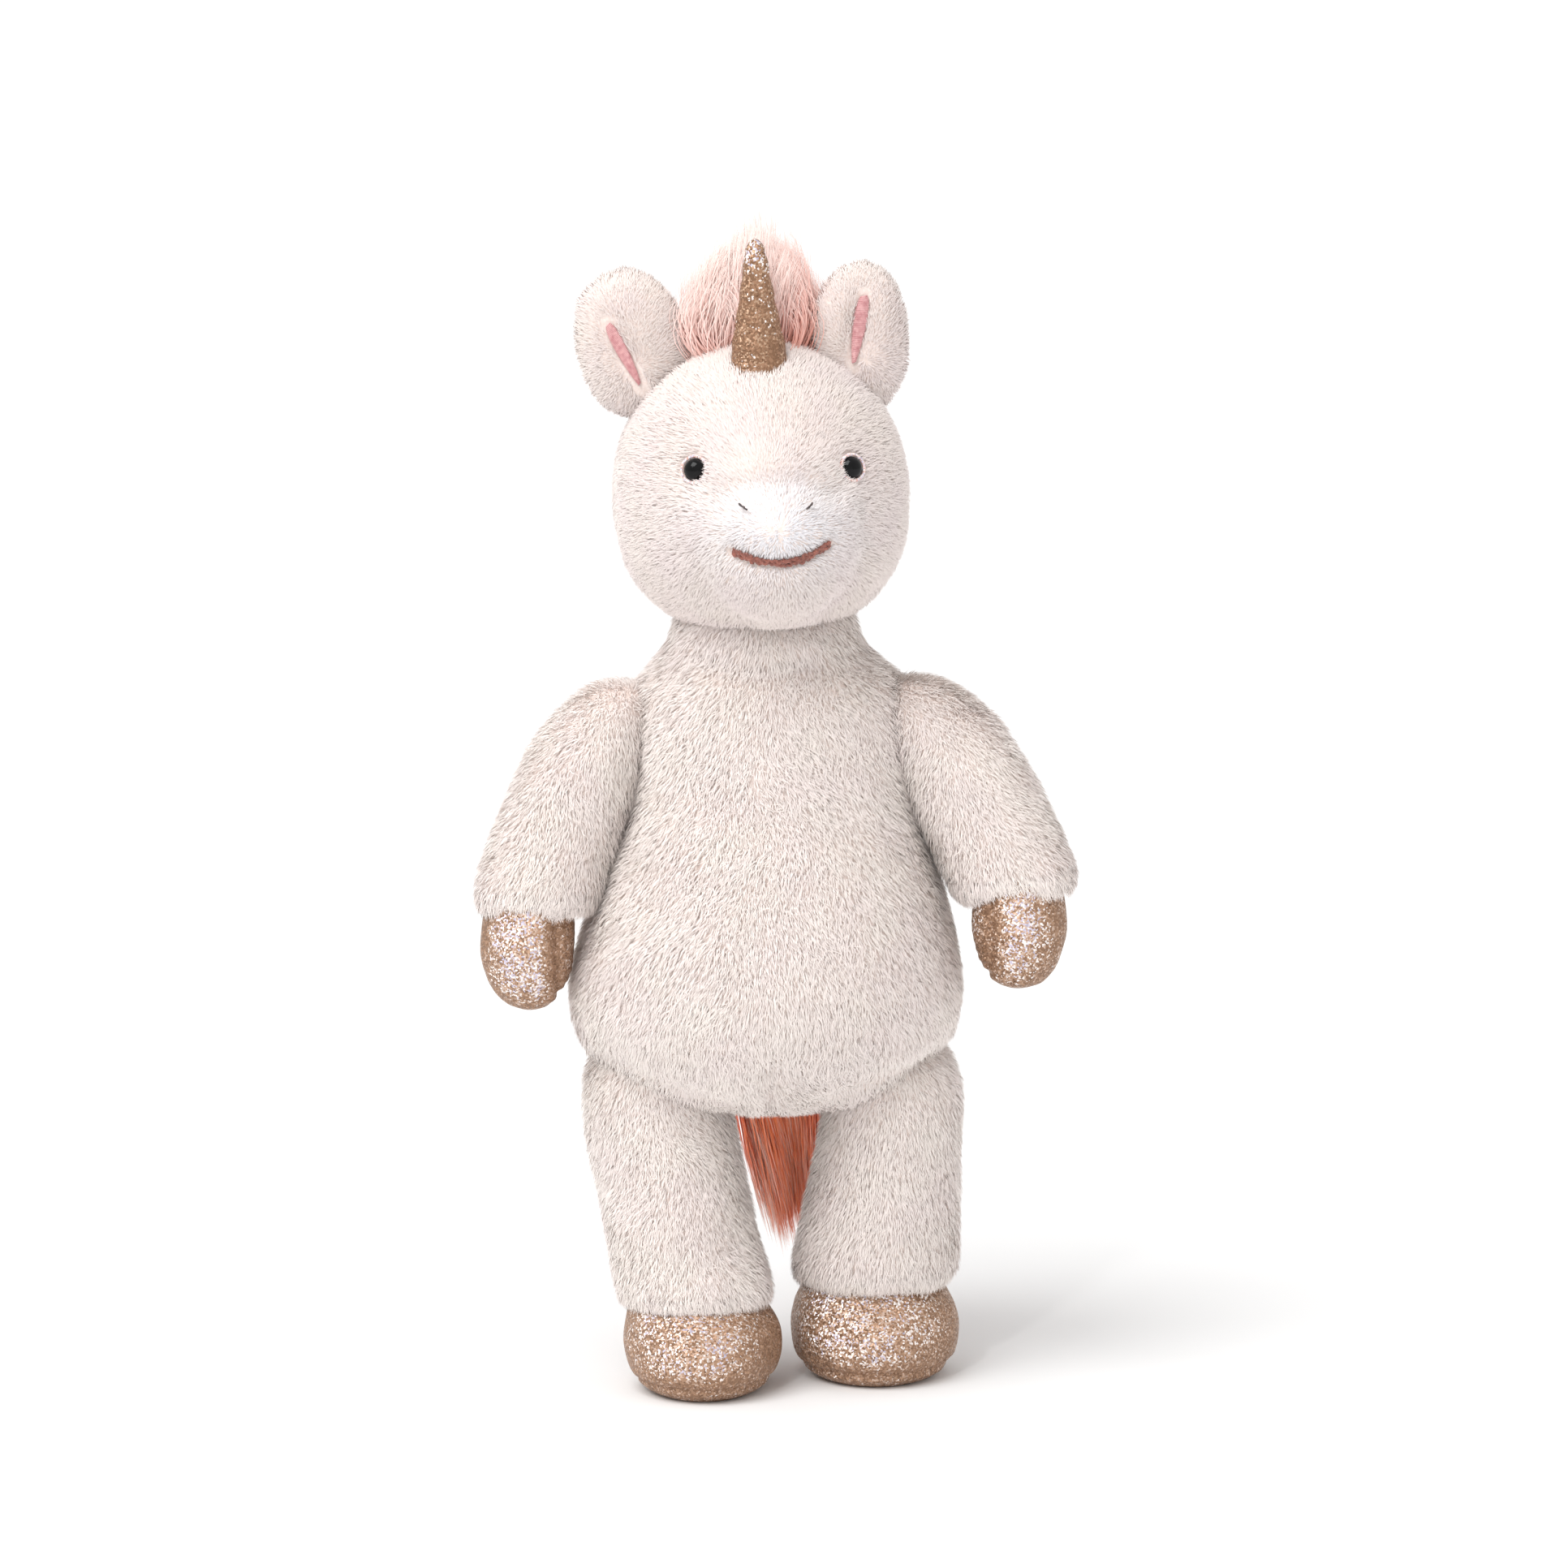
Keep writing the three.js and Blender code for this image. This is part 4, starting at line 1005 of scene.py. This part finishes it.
def make_horn():
    """A cone of glitter cloth with the slight rings that its stuffing makes, and a seam behind."""
    rings, sides = 90, 48
    height = np.linspace(-1, HORN_LENGTH, rings + 1)
    share = np.clip(height / (HORN_LENGTH - 2.5), 0, 1)
    radius = HORN_RADIUS[0] + (HORN_RADIUS[1] - HORN_RADIUS[0]) * share
    radius = radius * np.sqrt(np.clip((HORN_LENGTH - height) / 2.6, 0, 1))
    radius += 0.16 * np.sin(height * 2 * math.pi / 7.5) * (share > 0) * (share < 0.97)
    angle = np.linspace(0, 2 * math.pi, sides, endpoint=False)
    seam = 1 - 0.07 * bump(np.angle(np.exp(1j * (angle - math.pi / 2))), 0.18)
    points = np.zeros((rings + 1, sides, 3))
    points[:, :, 0] = np.maximum(radius, 0.01)[:, None] * seam * np.cos(angle)
    points[:, :, 1] = np.maximum(radius, 0.01)[:, None] * seam * np.sin(angle)
    points[:, :, 2] = height[:, None]
    points = points.reshape(-1, 3)
    points += 0.16 * noise_vectors(points, 6, 61) * (points[:, 2:] < HORN_LENGTH - 1)
    shine = 0.12 + 0.8 * np.clip((points[:, 2] - 27) / 10, 0, 1)
    cone = piece("horn_glitter_cone", horn_to_toy(points), grid_faces(rings, sides), HORN_GLITTER, "head",
                 "horn_glitter", ["horn_cover"], shine=shine)


# ---- mane and tail ----


def locks(rng, roots, tips, bend, hairs, gather, points_each=8):
    """Spines of hair in locks, and each spine's lock. "hairs" is how many a lock has, and "gather" is how
    far they start apart at its root and how much they stray from there to its tip."""
    spines, lock_of = [], []
    for number, (root, tip) in enumerate(zip(roots, tips)):
        start = root + rng.normal(0, 1, (hairs, 3)) * gather[0]
        reach = rng.uniform(0.72, 1.06, (hairs, 1))
        end = start + (tip - root) * reach + rng.normal(0, 1, (hairs, 3)) * gather[1]
        sag = bend[number] + rng.normal(0, 0.7, (hairs, 3))
        t = np.linspace(0, 1, points_each)[None, :, None]
        straight = start[:, None] * (1 - t) + end[:, None] * t
        spines.append(straight + sag[:, None] * (t * (1 - t) * 4))
        lock_of.append(np.full(hairs, number))
    return np.concatenate(spines), np.concatenate(lock_of)


def make_mane():
    """A tuft of long soft hair that fans up behind the horn from one sewn-in root, in pointed locks."""
    rng = np.random.default_rng(71)
    count = 60
    fan = np.linspace(-1, 1, count) + rng.normal(0, 0.08, count)
    depth = rng.uniform(-1, 1, count)
    roots = np.c_[-3 + 9 * fan, 8.5 + 9 * depth, 300 - 3.2 * fan**2 - 1.2 * np.abs(depth)]
    height = 35 * np.sqrt(np.clip(1 - (0.85 * fan) ** 2, 0.05, 1)) * rng.uniform(0.6, 1.05, count) ** 0.7
    height *= 1 - 0.1 * np.clip(fan, 0, 1)
    tips = np.c_[-2 + 12.5 * fan + rng.normal(0, 2.2, count), 7 + 11 * depth,
                 304 + height * (1 - 0.18 * np.abs(depth))]
    bend = np.c_[4.5 * fan + rng.normal(0, 2.4, count), rng.normal(0, 2, count),
                 2 + rng.normal(0, 1.5, count)]
    spines, lock = locks(rng, roots, tips, bend, 200, (2.4, 0.9))
    outward = unit(spines[:, 4] - np.array([-2, 14, 304]) + [0, -6, 0])
    sideways = unit(np.cross(spines[:, -1] - spines[:, 0], outward) + rng.normal(0, 0.4, outward.shape))
    shade = rng.normal(0, 0.1, count)[lock] + 0.1 - 0.25 * np.clip(fan, 0, 1)[lock]
    widths = np.array([0.3, 0.3, 0.29, 0.27, 0.25, 0.21, 0.14, 0])
    made = strand_mesh("mane_hair", spines, outward, sideways, widths, MANE_HAIR,
                       {"tint": rng.uniform(-1, 1, len(spines)), "pale": shade})
    finish_piece(made, "head", ["mane_tuft"])


def make_tail():
    """A tuft of long hair that hangs from the back seam, coral, with pale ends."""
    rng = np.random.default_rng(83)
    count = 130
    turn = rng.uniform(0, 2 * math.pi, count)
    out = np.sqrt(rng.uniform(0, 1, count))
    x, y = np.cos(turn) * out, np.sin(turn) * out
    roots = np.c_[3 + 5 * x, 42.5 + 2 * y, 107 + 5 * y]
    drop = rng.uniform(0.7, 1, count)
    tips = np.c_[8.5 - 2.5 * (1 - drop) + 8 * x, 57 + 6.5 * y, 108 - 80 * drop]
    bend = np.c_[-3 + 6 * x, 12 + 4 * y, 6 + 0 * x]
    spines, lock = locks(rng, roots, tips, bend, 50, (1.1, 0.9), 9)
    outward = unit(np.c_[x, y + 0.25, 0 * x][lock] + rng.normal(0, 0.2, (len(lock), 3)))
    sideways = unit(np.cross(spines[:, -1] - spines[:, 0], outward) + rng.normal(0, 0.3, outward.shape))
    pale = np.clip(-0.4 * x[lock] - 0.1, 0, 0.3) + rng.normal(0, 0.06, len(lock)) - 0.22
    widths = np.array([0.55, 0.55, 0.55, 0.52, 0.5, 0.45, 0.36, 0.25, 0])
    made = strand_mesh("tail_hair", spines, outward, sideways, widths, TAIL_HAIR,
                       {"tint": rng.uniform(-1, 1, len(spines)), "pale": pale})
    finish_piece(made, "tail", ["tail_tuft"])


# ---- ears ----


def make_ear(side):
    half_width, half_height = side["ear_half"]
    body = side["name"] + "_ear"
    directions, faces = sphere_directions(32, 40)
    swollen = np.sign(directions) * np.abs(directions) ** [0.9, 0.8, 0.9]
    local = swollen * [half_width - 0.6, 5.2, half_height - 0.8]

    def seams(points):
        return np.abs(toy_to_ear(points, side)[:, 1]) + 3 * (np.linalg.norm(
            toy_to_ear(points, side)[:, [0, 2]] / [half_width - 1.0, half_height - 1.0], axis=1) < 0.85)

    points, faces = filled_skin((ear_to_toy(local, side), faces), 2.2, most=1.2, seams=seams, soften=2)
    local = toy_to_ear(points, side)
    middle, axis = lining_middle_and_axis(side)
    beside = local - middle - np.outer((local - middle) @ axis, axis)
    along = (local - middle) @ axis
    groove = 2.2 * (local[:, 1] < 0) * bump(np.abs(beside[:, 0]), 4.2) * bump(along, 13)
    points = ear_to_toy(local + np.outer(groove, [0, 1, 0]), side)
    middle = toy_to_ear(points[faces].mean(1), side)
    for end, chosen in (("front", middle[:, 1] < 0), ("back", middle[:, 1] >= 0)):
        skin = piece(f"{body}_{end}_skin", points, faces[chosen], BACKING, body, "fur",
                     [f"{body}_{end}_panel"], thickness=0.7)
    tree = BVHTree.FromPolygons(points.tolist(), faces.tolist())
    strip, strip_line = lining_threads(side, tree)
    piece(body + "_satin_strip", *strip, LINING_THREAD, body, "ear_lining_thread", [body + "_lining"])

    def comb(at, normal):
        here = toy_to_ear(at, side)
        return ear_to_toy(here * [1, 0, 1] + [0, 0, 6], side) - side["ear"]

    coat = fur(body + "_fur", (points, faces), FACE_FUR, 5.5, 2.5, comb, seed=90 + side["sign"],
               keep=lambda at: far_from_strip(at, side, strip_line), width=0.26, lift=0.3)
    finish_piece(coat, body)


def lining_middle_and_axis(side):
    """The middle of an ear's strip and the way the strip runs, about the ear's centre."""
    lean = math.radians(side["lining_lean"])
    x, z = side["lining_place"]
    return np.array([x, 0, z]), np.array([math.sin(lean), 0, math.cos(lean)])


def far_from_strip(at, side, line):
    here = toy_to_ear(at, side)
    return (here[:, 1] > 0) | (far_from(here[:, [0, 2]], line) > 2.1)


def lining_threads(side, tree):
    """The embroidered strip: short threads laid side by side across a long leaf."""
    threads, line = [], []
    middle, axis = lining_middle_and_axis(side)
    cross = np.array([axis[2], 0, -axis[0]])
    length = 10.3
    for place in np.arange(-length, length, 0.42):
        share = (place / length + 1) / 2
        half = (5 if side["sign"] > 0 else 4.4) * share**0.75 * (1 - share) ** 0.38
        centre = middle + axis * place
        line.append(centre[[0, 2]])
        if half < 0.5:
            continue
        path = [centre + cross * half * t + axis * 0.35 * t for t in np.linspace(-1, 1, 9)]
        spots, normals = [], []
        for at, t in zip(path, np.linspace(-1, 1, 9)):
            start = ear_to_toy([at + [0, -30, 0]], side)[0]
            way = ear_to_toy([[0, 1, 0]], side)[0] - side["ear"]
            spot, normal, _, _ = tree.ray_cast(Vector(start), Vector(way))
            spots.append(np.array(spot) + np.array(normal) * (0.5 + 0.8 * (1 - t * t)))
            normals.append(np.array(normal))
        threads.append(tube(spots, normals, 0.27, sides=6))
    return joined(threads), [line[0], line[-1]]


# ---- arms ----


def sleeve_fur(body, skin, comb, seed, above_hem, fringe_height, piles):
    """A sleeve's coat, and a denser fringe that hides the edge of its hem."""
    coat = fur(body + "_fur", skin, FUR_MATERIAL, 4.0, piles[0], comb, seed, lambda at: above_hem(at) > 0)
    fringe = fur(body + "_hem_fur", skin, FUR_MATERIAL, 5, piles[1], comb, seed + 10,
                 lambda at: (above_hem(at) > 0) & (above_hem(at) < fringe_height), lift=-0.25)
    for made in (coat, fringe):
        finish_piece(made, body)


def make_arm(side):
    body = side["name"] + "_arm"
    form, faces = loft(ARM_SLEEVE, FUR + 0.4)
    if side["sign"] < 0:
        faces = faces[:, ::-1]

    def seams(points):
        here = toy_to_arm(points, side)
        underarm = np.abs(here[:, 1] + 6 - 0.12 * here[:, 2]) + 20 * (here[:, 0] < 12)
        return np.minimum(underarm, here[:, 2] + 56)

    points, faces = filled_skin((arm_to_toy(form, side), faces), 3.2, most=1.6, seams=seams)
    points = points + normals_of(points, faces) * (0.5 * noise(points, 16, 8))[:, None]
    skin = piece(body + "_skin", points, faces, BACKING, body, "fur", [body + "_sleeve"])
    down = arm_to_toy([[20, -11, -60]], side)[0] - arm_to_toy([[8, -2, 0]], side)[0]

    def comb(at, normal):
        return unit(down) + 0 * at

    def above_hem(at):
        return toy_to_arm(at, side)[:, 2] - HAND_HEM

    sleeve_fur(body, (points, faces), comb, 120 + side["sign"], above_hem, 5.5, (4.2, 4.4))
    make_hand_hoof(side, body)


def painted_glint(normals, front):
    """A painted glint: strongest on the side that faces the given way, none on the sides turned away from
    it.
    """
    return np.clip((normals @ unit(np.array(front, float)) - 0.35) / 0.5, 0, 1)


def make_hand_hoof(side, body):
    """The hand hoof: two panels of glitter cloth that meet in a seam down its inner side."""
    form, faces = loft(ARM_HOOF, -0.5)
    if side["sign"] < 0:
        faces = faces[:, ::-1]

    def seams(points):
        return np.abs(arm_to_hoof(toy_to_arm(points, side), side)[:, 0] - HOOF_SEAM_X)

    form = arm_to_toy(hoof_to_arm(form, side), side)
    points, faces = filled_skin((form, faces), 1.8, most=0.9, seams=seams, soften=2)
    here = arm_to_hoof(toy_to_arm(points, side), side)
    normals = normals_of(points, faces)
    from_seam = np.abs(here[:, 0] - HOOF_SEAM_X)
    press = 0.7 * bump(from_seam, 1.1) + 0.22 * bump(from_seam, 4) * np.cos(here[:, 2] * 2.4)
    press += 0.35 * noise(points, 7, 15) + 0.5 * np.clip(noise(points * [1, 1, 0.5], 9, 16), 0, 1)
    points = points - normals * press[:, None]
    outer = here[faces].mean(1)[:, 0] >= HOOF_SEAM_X
    # The line along the seam is darker. Away from the seam and the bottom, the side that faces the front
    # gets a painted glint: more pale flakes, turned a little differently on each side.
    glint_share = np.clip((from_seam - 1.5) / 4, 0, 1)
    front = [-0.4 if side["sign"] > 0 else 0.05, -1, 0]
    shine = -0.8 * bump(from_seam, 0.8)
    shine += 0.9 * painted_glint(normals, front) * glint_share * np.clip((here[:, 2] + 80) / 8, 0, 1)
    for name, chosen in (("outer", outer), ("inner", ~outer)):
        panel = piece(f"{side['name']}_hand_hoof_{name}", points, faces[chosen], GLITTER, body,
                      "hoof_glitter", [f"{side['name']}_hand_hoof_{name}_panel"], thickness=0.9, shine=shine)


# ---- legs ----


def make_leg(side):
    body = side["name"] + "_leg"

    def seams(points):
        return np.minimum(np.abs(points[:, 1] - side["hem"][1]), points[:, 2] - side["hem_z"] - FUR)

    points, faces = filled_skin(loft(leg_sections(side), FUR + 0.4), 3.4, most=1.8, seams=seams)
    points = points + normals_of(points, faces) * (0.5 * noise(points, 18, 9))[:, None]
    skin = piece(body + "_skin", points, faces, BACKING, body, "fur", [body + "_sleeve"])

    def comb(at, normal):
        return np.array([0, 0, -1.0]) + 0 * at

    def above_hem(at):
        return at[:, 2] - (side["hem_z"] + FUR + 0.8)

    sleeve_fur(body, (points, faces), comb, 150 + side["sign"], above_hem, 5.2, (4.3, 4.6))
    make_foot(side, body)


def make_foot(side, body):
    """The foot hoof: an upper of glitter cloth that meets the sole in a seam all round."""

    def seams(points):
        return np.abs(points[:, 2] - SOLE_TOP)

    points, faces = filled_skin(loft(foot_sections(side), 0.5), 2.2, most=1.0, seams=seams, soften=2)
    normals = normals_of(points, faces)
    from_seam = np.abs(points[:, 2] - SOLE_TOP)
    round_foot = np.arctan2(points[:, 1] - side["foot"][1], points[:, 0] - side["foot"][0])
    press = 0.9 * bump(from_seam, 1.0) * (normals[:, 2] > -0.8)
    press += 0.16 * bump(from_seam, 3) * np.cos(round_foot * 60)
    press += (0.4 * noise(points, 9, 25) + 0.6 * np.clip(noise(points * [1, 1, 1.8], 13, 26), 0, 1)) * (
        points[:, 2] > 3)
    points = points - normals * press[:, None]
    points[:, 2] = np.maximum(points[:, 2], 0)
    middle = points[faces].mean(1)[:, 2]
    # Painted glint: more pale flakes on the side that faces the front and up, away from the seam; the line
    # along the seam is darker.
    shine = 0.6 * painted_glint(normals, [-0.2, -1, 0.45]) * np.clip((from_seam - 1.5) / 4, 0, 1)
    shine -= 0.8 * bump(from_seam, 0.8)
    upper = piece(side["name"] + "_foot_upper", points, faces[middle > SOLE_TOP], GLITTER, body,
                  "hoof_glitter", [side["name"] + "_foot_hoof_upper"], thickness=0.9, shine=shine)
    sole = piece(side["name"] + "_foot_sole_cloth", points, faces[middle <= SOLE_TOP], GLITTER, body,
                 "hoof_glitter", [side["name"] + "_foot_sole"], thickness=0.9, shine=0.1)


# ---- what is inside ----


def solid_arrays(node):
    """A CAD solid's points in the toy's frame, and its triangles."""
    solid = frame["nodes"][node].data
    return toy([v.co for v in solid.vertices]), [list(p.vertices) for p in solid.polygons]


def make_wad(node, name, body, lump, voxel=3.0, slot="stuffing", material=STUFFING):
    """Loose fibre or pellets in the room that the CAD solid gives it, a little smaller and uneven."""
    temp = evened(*solid_arrays(node), voxel)
    points, faces = mesh_arrays(temp.data, SIM_UNIT)
    bpy.data.objects.remove(temp)
    inward = 1.4 + lump * (1 + noise(points, 7, 33)) / 2
    points = points - normals_of(points, faces) * inward[:, None]
    wad = piece(name, points, faces, material, body, slot, [node])


def make_board(node, name, body):
    """The card in the sole, cut a little smaller than the room for it."""
    points, triangles = solid_arrays(node)
    middle = (points.min(0) + points.max(0)) / 2
    piece(name, middle + (points - middle) * [0.86, 0.88, 1], triangles, BOARD, body, replaces=[node])


def make_inside():
    make_wad("torso_stuffing", "torso_fill", "torso", 1.6)
    make_wad("neck_stuffing", "neck_fill", "neck", 0.8)
    make_wad("head_stuffing", "head_fill", "head", 1.6)
    make_wad("horn_stuffing", "horn_fill", "head", 0.2, 1.2)
    for side in SIDES:
        name = side["name"]
        for limb in ("_arm", "_leg"):
            make_wad(f"{name}{limb}_stuffing", f"{name}{limb}_fill", name + limb, 1.4, 2.5)
        make_wad(name + "_foot_pellet_bag", name + "_pellet_bag", name + "_leg", 0.8, 2.0, "pellet_bag",
                 PELLET_CLOTH)
        make_board(name + "_foot_insole_board", name + "_insole_card", name + "_leg")
        frame["nodes"][name + "_eye_washer"].material_slots[0].material = WASHER


# ---- camera, floor and light ----


CAMERA_AIM = Vector((0.0013, 0, 0.0038))     # from the middle of the CAD model, in metres
CAMERA_DISTANCE = 2.4
CAMERA_ELEVATION = math.radians(9)
CAMERA_WIDTH = 0.454                         # metres of the model's plane across the picture
SENSOR = 36
FLOOR_REACH = 30
FLOOR_ALBEDO = 0.88
WORLD_STRENGTH = 0.8
SUN_WAY = Vector((-0.72, -0.85, 1.6))
EYE_LIGHT_PLACE = Vector((-0.5, -1.7, 0.95))
EYE_LIGHT_WAY = Vector((-0.5, -1.7, 0.85))


def make_studio():
    """The camera, a pale floor, an even sky, a soft sun and a small lamp that shows in the eyes."""
    low, high = cad_box
    target = (low + high) / 2 + CAMERA_AIM
    lens = bpy.data.cameras.new("camera")
    lens.sensor_width = SENSOR
    lens.lens = SENSOR * CAMERA_DISTANCE / CAMERA_WIDTH
    camera = linked("camera", lens)
    back = Vector((0, -math.cos(CAMERA_ELEVATION), math.sin(CAMERA_ELEVATION)))
    camera.location = target + back * CAMERA_DISTANCE
    camera.rotation_euler = (-back).to_track_quat("-Z", "Y").to_euler()
    bpy.context.scene.camera = camera

    corners = [(x * FLOOR_REACH, y * FLOOR_REACH, 0) for x, y in ((-1, -1), (1, -1), (1, 1), (-1, 1))]
    mesh = bpy.data.meshes.new("floor")
    mesh.from_pydata(corners, [], [(0, 1, 2, 3)])
    floor = linked("floor", mesh)
    shader = Shader("floor_white", roughness=0.9)
    shader.main.inputs["Base Color"].default_value = (FLOOR_ALBEDO, FLOOR_ALBEDO, FLOOR_ALBEDO, 1)
    mesh.materials.append(shader.material)

    world = bpy.data.worlds.new("studio")
    world.use_nodes = True
    sky = world.node_tree.nodes["Background"].inputs
    sky["Color"].default_value = (1, 0.995, 0.99, 1)
    sky["Strength"].default_value = WORLD_STRENGTH
    bpy.context.scene.world = world

    sun = bpy.data.lights.new("key", "SUN")
    sun.energy = 1.85
    sun.angle = math.radians(40)
    linked("key", sun).rotation_euler = SUN_WAY.to_track_quat("Z", "Y").to_euler()

    lamp = bpy.data.lights.new("eye_light", "AREA")
    lamp.size = 0.1
    lamp.energy = 5
    small = linked("eye_light", lamp)
    small.location = target + EYE_LIGHT_PLACE
    small.rotation_euler = EYE_LIGHT_WAY.to_track_quat("Z", "Y").to_euler()
    bpy.context.scene.view_settings.view_transform = "Standard"


make_studio()
make_torso()
head_tree = make_head()
make_face(head_tree)
make_horn()
for each_side in SIDES:
    make_ear(each_side)
    make_arm(each_side)
    make_leg(each_side)
make_mane()
make_tail()
make_inside()
